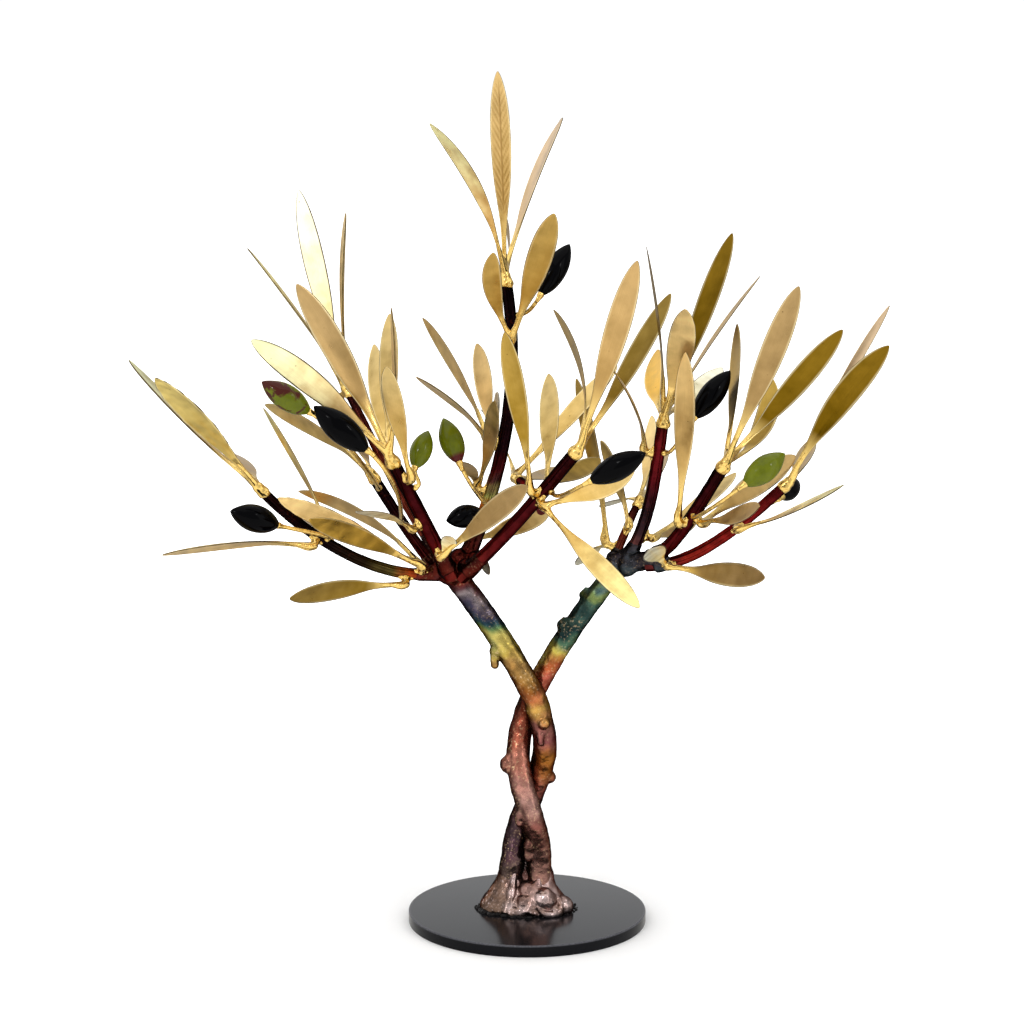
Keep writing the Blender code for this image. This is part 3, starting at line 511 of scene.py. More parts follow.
class OLIVETREE_PG_olives(bpy.types.PropertyGroup):
    """The enamelled olives and their wires."""
    wire_radius: length_setting("Wire radius", "Radius of the brass wire", 0.6)
    black: colour_setting("Black", "Black enamel", "#010102")
    green: colour_setting("Green", "Green enamel", "#666E0C")
    deep_green: colour_setting("Deep green", "Green enamel where it lies thick", "#3E4604")
    red: colour_setting("Red", "Ripe enamel at the stalk", "#4A1210")
    blot: colour_setting("Blots", "Dark red blots on the mottled olive", "#3E140C")


class OLIVETREE_PG_stage(bpy.types.PropertyGroup):
    """Floor, lights and camera."""
    floor: colour_setting("Floor", "Pale floor", "#F6F6F6")
    fill: number_setting("Fill", "Brightness of the room in front", 0.9)
    fill_side: number_setting("Side", "Brightness of the room at the sides", 0.5)
    backdrop: number_setting("Backdrop", "Brightness that the lit backdrop adds", 0.2)
    lens: bpy.props.FloatProperty(name="Lens", description="Focal length in millimetres", default=103.36)
    distance: length_setting("Distance", "How far the camera stands in front", 952.1)
    height: length_setting("Height", "Height of the camera", 309.7)
    shift: bpy.props.FloatProperty(name="Side", description="Camera's place to the right",
                                   default=-5.1 * MM, unit="LENGTH")
    pitch: bpy.props.FloatProperty(name="Pitch", description="How far the camera looks down",
                                   default=math.radians(10.13), subtype="ANGLE")


class OLIVETREE_PG_tree(bpy.types.PropertyGroup):
    """All settings of the tree."""
    disc: bpy.props.PointerProperty(type=OLIVETREE_PG_disc, name="Disc", description="The steel base")
    trunk: bpy.props.PointerProperty(type=OLIVETREE_PG_trunk, name="Trunk", description="Stems and mound")
    boughs: bpy.props.PointerProperty(type=OLIVETREE_PG_boughs, name="Boughs", description="Copper rods")
    leaves: bpy.props.PointerProperty(type=OLIVETREE_PG_leaves, name="Leaves", description="Brass leaves")
    olives: bpy.props.PointerProperty(type=OLIVETREE_PG_olives, name="Olives", description="Enamel fruit")
    stage: bpy.props.PointerProperty(type=OLIVETREE_PG_stage, name="Stage", description="Floor and lights")


# ---------------------------------------------------------------- modelling helpers

def select_only(*objs):
    """Deselect everything and select these, the first one active."""
    bpy.ops.object.select_all(action="DESELECT")
    for obj in objs:
        obj.select_set(True)
    bpy.context.view_layer.objects.active = objs[0]


def take_modifiers(obj):
    """Apply every modifier of an object, in order."""
    select_only(obj)
    for modifier in list(obj.modifiers):
        bpy.ops.object.modifier_apply(modifier=modifier.name)


def joined(name, objs):
    """Join objects into one mesh whose place is in its vertices."""
    select_only(*objs)
    if len(objs) > 1:
        bpy.ops.object.join()
    made = bpy.context.view_layer.objects.active
    made.name = name
    made.data.name = name
    bpy.ops.object.transform_apply(location=True, rotation=True, scale=True)
    bpy.ops.object.shade_smooth()
    return made


def lump(centre, radius, detail=3):
    """A round lump of metal, in millimetres."""
    bpy.ops.object.select_all(action="DESELECT")
    bpy.ops.mesh.primitive_ico_sphere_add(subdivisions=detail, radius=radius * MM,
                                          location=Vector(centre) * MM)
    return bpy.context.active_object


def rod(points, radii, roundness=6):
    """A rod along points in millimetres, drawn as a bevelled curve and made a mesh."""
    curve = bpy.data.curves.new("rod", "CURVE")
    curve.dimensions = "3D"
    curve.bevel_depth = MM
    curve.bevel_resolution = roundness
    curve.use_fill_caps = True
    spline = curve.splines.new("POLY")
    spline.points.add(len(points) - 1)
    for knot, point, radius in zip(spline.points, points, radii):
        knot.co = (*(Vector(point) * MM), 1.0)
        knot.radius = radius
    made = bpy.data.objects.new("rod", curve)
    bpy.context.scene.collection.objects.link(made)
    select_only(made)
    bpy.ops.object.convert(target="MESH")
    return bpy.context.active_object


def fuse(name, objs, fineness, smoothing):
    """Melt overlapping pieces into one skin with soft fillets: how fine it is, in
    millimetres, and the passes of smoothing."""
    made = joined(name, objs)
    melt = made.modifiers.new("melt", "REMESH")
    melt.mode = "VOXEL"
    melt.voxel_size = fineness * MM
    soften = made.modifiers.new("soften", "SMOOTH")
    soften.factor = 0.5
    soften.iterations = smoothing
    take_modifiers(made)
    bpy.ops.object.shade_smooth()
    return made


def ripple(obj, size, height):
    """Raise and sink the skin of an object: size and height of the marks in millimetres."""
    pattern = bpy.data.textures.new("relief", "CLOUDS")
    pattern.noise_scale = size * MM
    relief = obj.modifiers.new("relief", "DISPLACE")
    relief.texture = pattern
    relief.texture_coords = "LOCAL"
    relief.strength = height * MM
    relief.mid_level = 0.5
    take_modifiers(obj)
    bpy.data.textures.remove(pattern)


def vertices_of(obj):
    """The vertices of an object as rows of x, y and z, in millimetres."""
    rows = np.zeros(len(obj.data.vertices) * 3)
    obj.data.vertices.foreach_get("co", rows)
    return rows.reshape(-1, 3) / MM


def set_vertices(obj, rows):
    """Put back the vertices of an object, given in millimetres."""
    obj.data.vertices.foreach_set("co", (rows * MM).ravel())
    obj.data.update()


def store(obj, name, values):
    """Store one number for each vertex, for its material to read."""
    obj.data.attributes.new(name, "FLOAT", "POINT").data.foreach_set("value", values)


def store_along(obj, path):
    """Store how far along the path each vertex lies, from 0 to 1."""
    near = kdtree.KDTree(len(path))
    for index, point in enumerate(path):
        near.insert(Vector(point) * MM, index)
    near.balance()
    store(obj, "along", [near.find(vert.co)[1] / (len(path) - 1) for vert in obj.data.vertices])


def near_spots(obj, spots):
    """How strongly each vertex belongs to soft round spots: centre, reach and strength."""
    rows = vertices_of(obj)
    values = np.zeros(len(rows))
    for centre, reach, strength in spots:
        away = np.linalg.norm(rows - np.array(centre), axis=1) / reach
        values = np.maximum(values, strength * np.exp(-away ** 2))
    return values


def painted_side_shade(obj, to_left, to_right):
    """Painted shade on each vertex that faces left or right, up to an amount for each side."""
    facing = np.zeros(len(obj.data.vertices) * 3)
    obj.data.vertex_normals.foreach_get("vector", facing)
    sideways = facing.reshape(-1, 3)[:, 0]
    span = SIDE_SHADE_FULL - SIDE_SHADE_START
    left = to_left * np.clip((-sideways - SIDE_SHADE_START) / span, 0, 1)
    right = to_right * np.clip((sideways - SIDE_SHADE_START) / span, 0, 1)
    return np.maximum(left, right)


def drawn_out(name, stations, sides, squareness=1.0):
    """A closed shape drawn out of a circle along X. A station is a place, a half width
    across Y and a half thickness across Z, in millimetres."""
    bpy.ops.object.select_all(action="DESELECT")
    bpy.ops.mesh.primitive_circle_add(vertices=sides, radius=MM, fill_type="NGON",
                                      rotation=(0, math.pi / 2, 0))
    made = bpy.context.active_object
    bpy.ops.object.transform_apply(rotation=True)
    for vert in made.data.vertices:
        vert.co.z = math.copysign(abs(vert.co.z / MM) ** squareness * MM, vert.co.z)
    bpy.ops.object.mode_set(mode="EDIT")
    bpy.ops.mesh.select_all(action="SELECT")
    place, width, thickness = 0.0, 1.0, 1.0
    for index, (next_place, next_width, next_thickness) in enumerate(stations):
        if index:
            bpy.ops.mesh.extrude_region_move()
        bpy.ops.transform.translate(value=((next_place - place) * MM, 0, 0))
        bpy.ops.transform.resize(value=(1, next_width / width, next_thickness / thickness),
                                 center_override=(next_place * MM, 0, 0))
        place, width, thickness = next_place, next_width, next_thickness
    bpy.ops.mesh.select_all(action="SELECT")
    bpy.ops.mesh.normals_make_consistent(inside=False)
    bpy.ops.object.mode_set(mode="OBJECT")
    made.name = name
    return made


def subdivide(obj, levels):
    """Round an object off by subdividing it."""
    smooth = obj.modifiers.new("smooth", "SUBSURF")
    smooth.levels = smooth.render_levels = levels
    take_modifiers(obj)


def own_copy(obj, name):
    """A copy of an object with a mesh of its own."""
    made = obj.copy()
    made.data = obj.data.copy()
    made.name = name
    bpy.context.scene.collection.objects.link(made)
    return made


def settle(piece, slot, *nodes):
    """Hang a finished piece on the root and hide the CAD nodes that it stands for; its slot is not used."""
    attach(piece, "root")
    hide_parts(*nodes)


# ---------------------------------------------------------------- where things grow

def stem_point(hand, height):
    """Centre line of a stem; hand is -1 for the stem that ends on the left, 1 for the right."""
    if height >= UPPER_CROSSING:
        rise = height - UPPER_CROSSING
        out = FORK_SLOPE * rise + FORK_BEND * rise ** 2
        axis = AXIS_SHIFT + AXIS_LEAN * UPPER_CROSSING
        return Vector((axis + hand * out, hand * (TWIST_RADIUS - FORK_CLOSING * rise), height))
    turned = max(height, TWIST_END)
    turn = math.pi * (UPPER_CROSSING - turned) / HALF_TURN
    reach = TWIST_RADIUS + SPLAY * (turned - height)
    axis = AXIS_SHIFT + AXIS_LEAN * height
    return Vector((axis - hand * reach * math.sin(turn), hand * reach * math.cos(turn), height))


def curve_point(handles, along):
    """Point of a cubic curve."""
    a, b, c, d = (Vector(handle) for handle in handles)
    back = 1.0 - along
    return a * back ** 3 + b * 3 * back ** 2 * along + c * 3 * back * along ** 2 + d * along ** 3


def curve_points(handles, steps, end=1.0):
    """Points of a cubic curve at even steps, from its start to the place where it ends."""
    return [curve_point(handles, end * step / steps) for step in range(steps + 1)]


def curve_direction(handles, along):
    """Unit direction of a cubic curve."""
    step = 0.01
    ahead = curve_point(handles, min(1.0, along + step))
    behind = curve_point(handles, max(0.0, along - step))
    return (ahead - behind).normalized()


def stem_path(hand):
    """Centre line points of a stem, from its foot to its fork."""
    top = LEFT_STEM_TOP if hand < 0 else RIGHT_STEM_TURN
    rise = (top - STEM_BOTTOM) / (STEM_RINGS - 1)
    points = [stem_point(hand, STEM_BOTTOM + rise * ring) for ring in range(STEM_RINGS)]
    if hand > 0:
        start = points[-1]
        lead = start + (start - points[-2]) * STEM_RINGS / ARM_LEAD
        points += curve_points((start, lead, *RIGHT_ARM), ARM_RINGS)[1:]
    return points


def bough_radius(row, along):
    """Radius of a bough at a place along it."""
    return row[4] + (row[5] - row[4]) * along


def seat(bough_name, along, side, radius):
    """Centre of a bead of that radius, standing clear of the bough on one side."""
    row = BOUGHS[bough_name]
    point = curve_point(row[:4], along)
    direction = curve_direction(row[:4], along)
    if side == "tip":
        return point + direction * (radius + GAP)
    outward = Vector(SIDES[side])
    outward = (outward - direction * outward.dot(direction)).normalized()
    return point + outward * (bough_radius(row, along) + radius + GAP)


def pointing(lean, toward):
    """Unit direction from a lean to the right and a turn towards the front."""
    lean, toward = math.radians(lean), math.radians(toward)
    return Vector((math.sin(lean) * math.cos(toward), -math.sin(toward),
                   math.cos(lean) * math.cos(toward)))


# ---------------------------------------------------------------- materials

# A Mix node of colours takes its share at 0 and its colours at 6 and 7, and gives its result
# at 2; one of numbers takes them at 2 and 3, and gives its result at 0.
COLOURS, NUMBERS = {"data_type": "RGBA"}, {"data_type": "FLOAT"}
MULTIPLY, SCALE = {"operation": "MULTIPLY"}, {"operation": "SCALE"}


def add_node(tree, kind, inputs=(), settings=(), stops=()):
    """Add a shader node with its settings, its values or links, and its colour stops."""
    made = tree.nodes.new("ShaderNode" + kind)
    for name, value in dict(settings).items():
        setattr(made, name, value)
    for name, value in dict(inputs).items():
        if isinstance(value, bpy.types.NodeSocket):
            tree.links.new(value, made.inputs[name])
        else:
            made.inputs[name].default_value = value
    for index, (place, code) in enumerate(stops):
        elements = made.color_ramp.elements
        stop = elements[index] if index < 2 else elements.new(place)
        stop.position = place
        stop.color = opaque(code)
    return made


def new_material(name, values):
    """A material with a Principled shader, its constants set on the shader itself."""
    made = bpy.data.materials.new(name)
    made.use_nodes = True
    shader = made.node_tree.nodes["Principled BSDF"]
    for socket, value in values.items():
        shader.inputs[socket].default_value = value
    return made, made.node_tree, shader


def finish_skin(tree, shader, colour, roughness, height, strength, depth):
    """Link a finish to its shader: its colour, its roughness if that varies, and the bumps
    that a height gives, at a strength and to a depth in millimetres."""
    bump = add_node(tree, "Bump", {"Height": height, "Strength": strength, "Distance": depth * MM})
    tree.links.new(colour, shader.inputs["Base Color"])
    tree.links.new(bump.outputs["Normal"], shader.inputs["Normal"])
    if roughness:
        tree.links.new(roughness, shader.inputs["Roughness"])


def blackened_steel(disc, name, oil):
    """Blackened mild steel: a smooth black oxide skin that mirrors softly at a low angle,
    rubbed grey along the bevel, a grey that is both wear and a painted highlight. The oil on it sets how
    much it mirrors."""
    made, tree, shader = new_material(name, {
        "IOR": 1.6, "Specular Tint": opaque("#E4EAF6"), "Specular IOR Level": oil})
    place = add_node(tree, "TexCoord").outputs["Object"]
    # rolled plate shows cloudy marks of about 12 mm; its grain is finer than 0.1 mm, and is
    # drawn at 0.5 mm to show at all
    clouds = add_node(tree, "TexNoise", {"Vector": place, "Scale": 1 / (12 * MM), "Detail": 3.0})
    grain = add_node(tree, "TexNoise", {"Vector": place, "Scale": 1 / (0.5 * MM), "Detail": 2.0})
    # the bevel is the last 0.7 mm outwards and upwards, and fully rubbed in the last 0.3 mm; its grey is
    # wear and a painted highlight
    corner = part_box("base_disc")[1]
    height = add_node(tree, "SeparateXYZ", {"Vector": place}).outputs["Z"]
    level = add_node(tree, "VectorMath", {0: place, 1: (1, 1, 0)}, MULTIPLY)
    reach = add_node(tree, "VectorMath", {0: level.outputs["Vector"]}, {"operation": "LENGTH"})
    rim = add_node(tree, "MapRange", {"Value": reach.outputs["Value"], "From Min": corner.x - 0.7 * MM,
                                      "From Max": corner.x - 0.3 * MM})
    brink = add_node(tree, "MapRange", {"Value": height, "From Min": corner.z - 0.7 * MM,
                                        "From Max": corner.z - 0.3 * MM})
    worn_highlight = add_node(tree, "Math", {0: rim.outputs["Result"], 1: brink.outputs["Result"]}, MULTIPLY)
    rubbed_highlight = add_node(tree, "Math", {0: worn_highlight.outputs[0], 1: grain.outputs["Fac"]}, MULTIPLY)
    face = add_node(tree, "Mix", {0: clouds.outputs["Fac"], 6: opaque(disc.face),
                                  7: opaque(disc.face, 1.5)}, COLOURS)
    colour = add_node(tree, "Mix", {0: rubbed_highlight.outputs[0], 6: face.outputs[2], 7: opaque(disc.edge)}, COLOURS)
    satin = add_node(tree, "MapRange", {"Value": clouds.outputs["Fac"], "To Min": 0.15, "To Max": 0.22})
    finish_skin(tree, shader, colour.outputs[2], satin.outputs["Result"], grain.outputs["Fac"], 0.12, 0.05)
    return made


def flame_copper(name, stops, fleck, roughness, speckle, grit, soot_and_shade=None, skirt=None):
    """Copper or bronze coloured with a torch and waxed: oxide colours that run in bands, and
    bright flecks where the skin is thin, which on the stems and the mound are also painted
    glints. On a rod the bands follow its length. Where a colour for soot and painted shade
    is given they follow the height in millimetres and some spots and sides are darkened with
    it, and where a colour for the skirt is given it covers what lies to the left, and painted
    highlights in the colour of the flecks light some spots."""
    made, tree, shader = new_material(name, {"Metallic": 0.95, "Specular Tint": opaque("#6E6260")})
    place = add_node(tree, "TexCoord").outputs["Object"]
    # bands wander over 8 mm, flecks are about 0.7 mm and scale marks about 3 mm
    wander = add_node(tree, "TexNoise", {"Vector": place, "Scale": 1 / (8 * MM), "Detail": 1.5})
    fine = add_node(tree, "TexNoise", {"Vector": place, "Scale": 1 / (0.7 * MM), "Detail": 3.0})
    broad = add_node(tree, "TexNoise", {"Vector": place, "Scale": 1 / (3 * MM), "Detail": 3.0})
    if soot_and_shade:
        axes = add_node(tree, "SeparateXYZ", {"Vector": place}).outputs
        low, high = stops[0][0], stops[-1][0]
        share = add_node(tree, "MapRange", {"Value": axes["Z"], "From Min": low * MM,
                                            "From Max": high * MM}).outputs["Result"]
        # flecks thin out from 90 mm up to the forks
        speckle = add_node(tree, "MapRange", {"Value": axes["Z"], "From Min": 90 * MM, "From Max": 110 * MM,
                                              "To Min": speckle, "To Max": 0.2}).outputs["Result"]
        stops = [((at - low) / (high - low), code) for at, code in stops]
    else:
        share = add_node(tree, "Attribute", settings={"attribute_name": "along"}).outputs["Fac"]
    drift = add_node(tree, "MapRange", {"Value": wander.outputs["Fac"], "From Min": 0.3, "From Max": 0.7,
                                        "To Min": -0.03, "To Max": 0.03})
    heat = add_node(tree, "Math", {0: share, 1: drift.outputs["Result"]}, {"operation": "ADD"})
    base = add_node(tree, "ValToRGB", {"Fac": heat.outputs[0]}, stops=stops).outputs["Color"]
    if soot_and_shade:
        # soot, and painted shade in the gap of the mound and on the stems' sides
        soot_and_shade_share = add_node(tree, "Attribute", settings={"attribute_name": "soot_and_shade"}).outputs["Fac"]
        base = add_node(tree, "Mix", {0: soot_and_shade_share, 6: base, 7: opaque(soot_and_shade)}, COLOURS).outputs[2]
    if skirt:
        # it starts 2 mm to the left of the middle and is full at 8 mm
        leftward = add_node(tree, "MapRange", {"Value": axes["X"], "From Min": -2 * MM,
                                               "From Max": -8 * MM, "To Max": 0.8}).outputs["Result"]
        base = add_node(tree, "Mix", {0: leftward, 6: base, 7: opaque(skirt)}, COLOURS).outputs[2]
        # painted highlights on the weld, in the colour of its flecks
        highlight_share = add_node(tree, "Attribute", settings={"attribute_name": "painted_highlight"}).outputs["Fac"]
        base = add_node(tree, "Mix", {0: highlight_share, 6: base, 7: opaque(fleck)}, COLOURS).outputs[2]
    # scale darkens some patches
    scaled = add_node(tree, "MapRange", {"Value": broad.outputs["Fac"], "From Min": 0.35, "From Max": 0.65,
                                         "To Min": 0.62, "To Max": 1.15})
    base = add_node(tree, "VectorMath", {0: base, "Scale": scaled.outputs["Result"]}, SCALE)
    # flecks come in clusters; on the stems and the mound they are also painted glints
    bright = add_node(tree, "MapRange", {"Value": fine.outputs["Fac"], "From Min": 0.55, "From Max": 0.72,
                                         "To Max": speckle})
    cluster = add_node(tree, "MapRange", {"Value": wander.outputs["Fac"], "From Min": 0.42,
                                          "From Max": 0.62, "To Min": 0.12})
    flecked = add_node(tree, "Math", {0: bright.outputs["Result"], 1: cluster.outputs["Result"]}, MULTIPLY)
    colour = add_node(tree, "Mix", {0: flecked.outputs[0], 6: base.outputs["Vector"], 7: opaque(fleck)},
                      COLOURS)
    gloss = add_node(tree, "MapRange", {"Value": broad.outputs["Fac"], "To Min": roughness[0],
                                        "To Max": roughness[1]})
    finish_skin(tree, shader, colour.outputs[2], gloss.outputs["Result"], fine.outputs["Fac"], grit, 0.12)
    return made


def burnt_flux():
    """Borax and scale burnt black at the foot of the weld: rough glassy crumbs."""
    made, tree, shader = new_material("burnt_flux", {"Roughness": 0.4, "Specular IOR Level": 0.15})
    place = add_node(tree, "TexCoord").outputs["Object"]
    # crumbs are about 0.8 mm
    grit = add_node(tree, "TexNoise", {"Vector": place, "Scale": 1 / (0.8 * MM), "Detail": 3.0})
    crumbs = grit.outputs["Fac"]
    colour = add_node(tree, "Mix", {0: crumbs, 6: opaque("#030303"), 7: opaque("#141010")}, COLOURS)
    finish_skin(tree, shader, colour.outputs[2], None, crumbs, 0.8, 0.3)
    return made


def brushed_brass(lit_tone):
    """Brass sheet, brushed along the leaf and lacquered: satin, with fine lines, faint clouds
    from the file and a few pits. Its tone and its lighter tip are painted light. The rim is
    rubbed bright with a painted highlight, the cut edge carries a dark brown painted shade as
    its outline, and the stalk is washed with brazing brass."""
    root, tip = BRASS[lit_tone]
    made, tree, shader = new_material("brushed_brass_painted_light_" + lit_tone, {"Metallic": 1.0})
    flat = add_node(tree, "UVMap", settings={"uv_map": "brushing"}).outputs["UV"]
    # one unit of the map is 10 mm: lines run for about 12 mm, clouds are about 6 mm and pits
    # lie about 5 mm apart; real lines lie closer than 0.1 mm, and are drawn 0.25 mm apart to show
    lines_at = add_node(tree, "Mapping", {"Vector": flat, "Scale": (0.8, 40.0, 1.0)}).outputs["Vector"]
    lines = add_node(tree, "TexNoise", {"Vector": lines_at, "Scale": 1.0, "Detail": 3.0}).outputs["Fac"]
    clouds = add_node(tree, "TexNoise", {"Vector": flat, "Scale": 1.6, "Detail": 4.0}).outputs["Fac"]
    pits = add_node(tree, "TexVoronoi", {"Vector": flat, "Scale": 2.2})
    share, edge, groove = (add_node(tree, "Attribute", settings={"attribute_name": name}).outputs["Fac"]
                           for name in ("share", "edge", "groove"))
    # the tint runs from root to tip, lighter towards the tip as painted light, and the clouds push
    # it about and make it lighter or darker
    wander = add_node(tree, "Math", {0: clouds, 1: 0.6, 2: share}, {"operation": "MULTIPLY_ADD"})
    outward = add_node(tree, "MapRange", {"Value": wander.outputs[0], "From Min": 0.65, "From Max": 1.15})
    tint = add_node(tree, "Mix", {0: outward.outputs["Result"], 6: opaque(root), 7: opaque(tip)}, COLOURS)
    patchy = add_node(tree, "MapRange", {"Value": clouds, "From Min": 0.3, "From Max": 0.7,
                                         "To Min": 0.82, "To Max": 1.12})
    shade = add_node(tree, "VectorMath", {0: tint.outputs[2], "Scale": patchy.outputs["Result"]}, SCALE)
    streak = add_node(tree, "MapRange", {"Value": lines, "From Min": 0.3, "From Max": 0.7, "To Max": 0.22})
    pit = add_node(tree, "MapRange", {"Value": pits.outputs["Distance"], "From Min": 0.03,
                                      "From Max": 0.06, "To Min": 0.75, "To Max": 0.0})
    sunk = add_node(tree, "MapRange", {"Value": groove, "To Max": 0.6})
    # painted highlight along the rim, and painted shade along the cut edge as a dark outline
    rubbed_highlight = add_node(tree, "MapRange", {"Value": edge, "From Min": 0.76, "From Max": 0.9, "To Max": 0.35})
    edge_shade = add_node(tree, "MapRange", {"Value": edge, "From Min": EDGE_SHADE_FROM[lit_tone],
                                        "From Max": EDGE_SHADE_FROM[lit_tone] + 0.06, "To Max": 0.95})
    washed = add_node(tree, "MapRange", {"Value": share, "From Min": 0.16, "From Max": 0.34,
                                         "To Min": 1.0, "To Max": 0.0})
    colour = shade.outputs["Vector"]
    for mark, cover in ((streak, opaque(root, 0.7)), (pit, opaque(PIT)), (sunk, opaque(GROOVE)),
                        (rubbed_highlight, opaque(RIM_HIGHLIGHT)), (edge_shade, opaque(EDGE_SHADE)), (washed, opaque(WASHED))):
        colour = add_node(tree, "Mix", {0: mark.outputs["Result"], 6: colour, 7: cover}, COLOURS).outputs[2]
    satin = add_node(tree, "MapRange", {"Value": clouds, "From Min": 0.3, "From Max": 0.7,
                                        "To Min": 0.27, "To Max": 0.40})
    polish = add_node(tree, "Math", {0: edge_shade.outputs["Result"], 1: washed.outputs["Result"]},
                      {"operation": "MAXIMUM"})
    gloss = add_node(tree, "Mix", {0: polish.outputs[0], 2: satin.outputs["Result"], 3: 0.24}, NUMBERS)
    finish_skin(tree, shader, colour, gloss.outputs[0], lines, 0.2, 0.05)
    return made


def melted_brass(leaves):
    """Brazing brass, as it flowed: bright and uneven, browner in its hollows."""
    made, tree, shader = new_material("melted_brass", {"Metallic": 1.0})
    place = add_node(tree, "TexCoord").outputs["Object"]
    # ripples of the melt are about 1.2 mm
    ripples = add_node(tree, "TexNoise", {"Vector": place, "Scale": 1 / (1.2 * MM), "Detail": 3.0})
    flow = ripples.outputs["Fac"]
    hollow = add_node(tree, "MapRange", {"Value": flow, "From Min": 0.3, "From Max": 0.48,
                                         "To Min": 0.45, "To Max": 0.0})
    colour = add_node(tree, "Mix", {0: hollow.outputs["Result"], 6: opaque(leaves.braze),
                                    7: opaque(leaves.hollow)}, COLOURS)
    gloss = add_node(tree, "MapRange", {"Value": flow, "To Min": 0.12, "To Max": 0.28})
    finish_skin(tree, shader, colour.outputs[2], gloss.outputs["Result"], flow, 0.35, 0.2)
    return made


def fired_enamel(name, first, second, sheen, stalk=None, blot=None):
    """Vitreous enamel fired on copper: glass-smooth and very glossy, thicker in places. It
    may take another colour at the stalk, or blots of one."""
    made, tree, shader = new_material(name, {
        "Roughness": 0.1, "IOR": 1.5, "Specular IOR Level": sheen})
    place = add_node(tree, "TexCoord").outputs["Object"]
    # the glass pools in patches of about 4 mm, and blots are about 5 mm
    pool = add_node(tree, "TexNoise", {"Vector": place, "Scale": 1 / (4 * MM), "Detail": 3.0}).outputs["Fac"]
    colour = add_node(tree, "Mix", {0: pool, 6: first, 7: second}, COLOURS).outputs[2]
    if stalk:
        share = add_node(tree, "Attribute", settings={"attribute_name": "along"}).outputs["Fac"]
        ripe = add_node(tree, "MapRange", {"Value": share, "From Min": 0.14, "From Max": 0.22,
                                           "To Min": 1.0, "To Max": 0.0}).outputs["Result"]
        colour = add_node(tree, "Mix", {0: ripe, 6: colour, 7: opaque(stalk)}, COLOURS).outputs[2]
    if blot:
        spread = add_node(tree, "TexNoise", {"Vector": place, "Scale": 1 / (5 * MM), "Detail": 5.0,
                                             "Distortion": 0.6}).outputs["Fac"]
        patch = add_node(tree, "MapRange", {"Value": spread, "From Min": 0.48, "From Max": 0.54})
        colour = add_node(tree, "Mix", {0: patch.outputs["Result"], 6: colour, 7: opaque(blot)},
                          COLOURS).outputs[2]
    finish_skin(tree, shader, colour, None, pool, 0.08, 0.3)
    return made


def matt_floor(colour):
    """Paper sweep: pale and matt. Towards its far edge it glows, as lit from below. What the metal
    sees of it glows close in front, as painted light, and is toned down behind, as a painted shade
    that black cards beside the object would give."""
    made, tree, shader = new_material("paper_sweep", {
        "Roughness": 0.9, "Emission Color": (1, 1, 1, 1)})
    place = add_node(tree, "TexCoord").outputs["Object"]
    seen = add_node(tree, "LightPath").outputs["Is Camera Ray"]
    depth = add_node(tree, "SeparateXYZ", {"Vector": place}).outputs["Y"]
    # the tooth of real paper is finer than 0.5 mm, and is drawn at 2 mm to show
    tooth = add_node(tree, "TexNoise", {"Vector": place, "Scale": 1 / (2 * MM)}).outputs["Fac"]
    paper = add_node(tree, "Mix", {0: tooth, 6: opaque(colour), 7: opaque(colour, 0.985)}, COLOURS)
    behind = add_node(tree, "MapRange", {"Value": depth, "From Min": -0.12, "From Max": 0.12})
    shade_behind = add_node(tree, "Mix", {0: behind.outputs["Result"], 6: opaque("#ECEAE6"),
                                   7: opaque("#8E8C88")}, COLOURS)
    toned = add_node(tree, "Mix", {0: seen, 6: shade_behind.outputs[2], 7: paper.outputs[2]}, COLOURS)
    tree.links.new(toned.outputs[2], shader.inputs["Base Color"])
    reach = add_node(tree, "VectorMath", {0: place}, {"operation": "LENGTH"}).outputs["Value"]
    far = add_node(tree, "MapRange", {"Value": reach, "From Min": 0.04, "From Max": 0.5})
    # painted light: the floor close in front glows in what the metal sees
    ahead = add_node(tree, "MapRange", {"Value": depth, "From Min": -0.15, "From Max": 0.15,
                                        "To Min": 0.5, "To Max": 0.0})
    glow = add_node(tree, "Mix", {0: seen, 2: ahead.outputs["Result"], 3: far.outputs["Result"]}, NUMBERS)
    tree.links.new(glow.outputs[0], shader.inputs["Emission Strength"])
    return made


# ---------------------------------------------------------------- the pieces

class OLIVETREE_OT_disc(bpy.types.Operator):
    """Turn the round steel base and bevel its edges."""
    bl_idname = "olivetree.disc"
    bl_label = "Base disc"

    def execute(self, context):
        disc = context.scene.olive_tree.disc
        low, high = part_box("base_disc")
        middle = (high.z + low.z) / 2
        bpy.ops.object.select_all(action="DESELECT")
        bpy.ops.mesh.primitive_cylinder_add(vertices=DISC_SIDES, radius=high.x, depth=high.z - low.z,
                                            location=(0, 0, middle))
        made = bpy.context.active_object
        bpy.ops.object.transform_apply(location=True)
        for top, width, steps in ((True, disc.top_bevel, 4), (False, disc.foot_bevel, 2)):
            bpy.ops.object.mode_set(mode="EDIT")
            bpy.ops.mesh.select_all(action="DESELECT")
            bpy.ops.mesh.select_mode(type="EDGE")
            bpy.ops.object.mode_set(mode="OBJECT")
            for edge in made.data.edges:
                ends = [made.data.vertices[index].co.z for index in edge.vertices]
                edge.select = min(ends) > middle if top else max(ends) < middle
            bpy.ops.object.mode_set(mode="EDIT")
            bpy.ops.mesh.bevel(offset=width, segments=steps, profile=0.6, affect="EDGES")
            bpy.ops.object.mode_set(mode="OBJECT")
        made = joined("disc_blackened", [made])
        bpy.ops.object.shade_smooth_by_angle(angle=math.radians(25))
        # the top is oiled, and the rest is left dry
        made.data.materials.append(blackened_steel(disc, "oiled_black_steel", OILED))
        made.data.materials.append(blackened_steel(disc, "dry_black_steel", DRY))
        for face in made.data.polygons:
            face.material_index = 0 if face.normal.z > 0.98 else 1
        settle(made, "base", "base_disc")
        return {"FINISHED"}


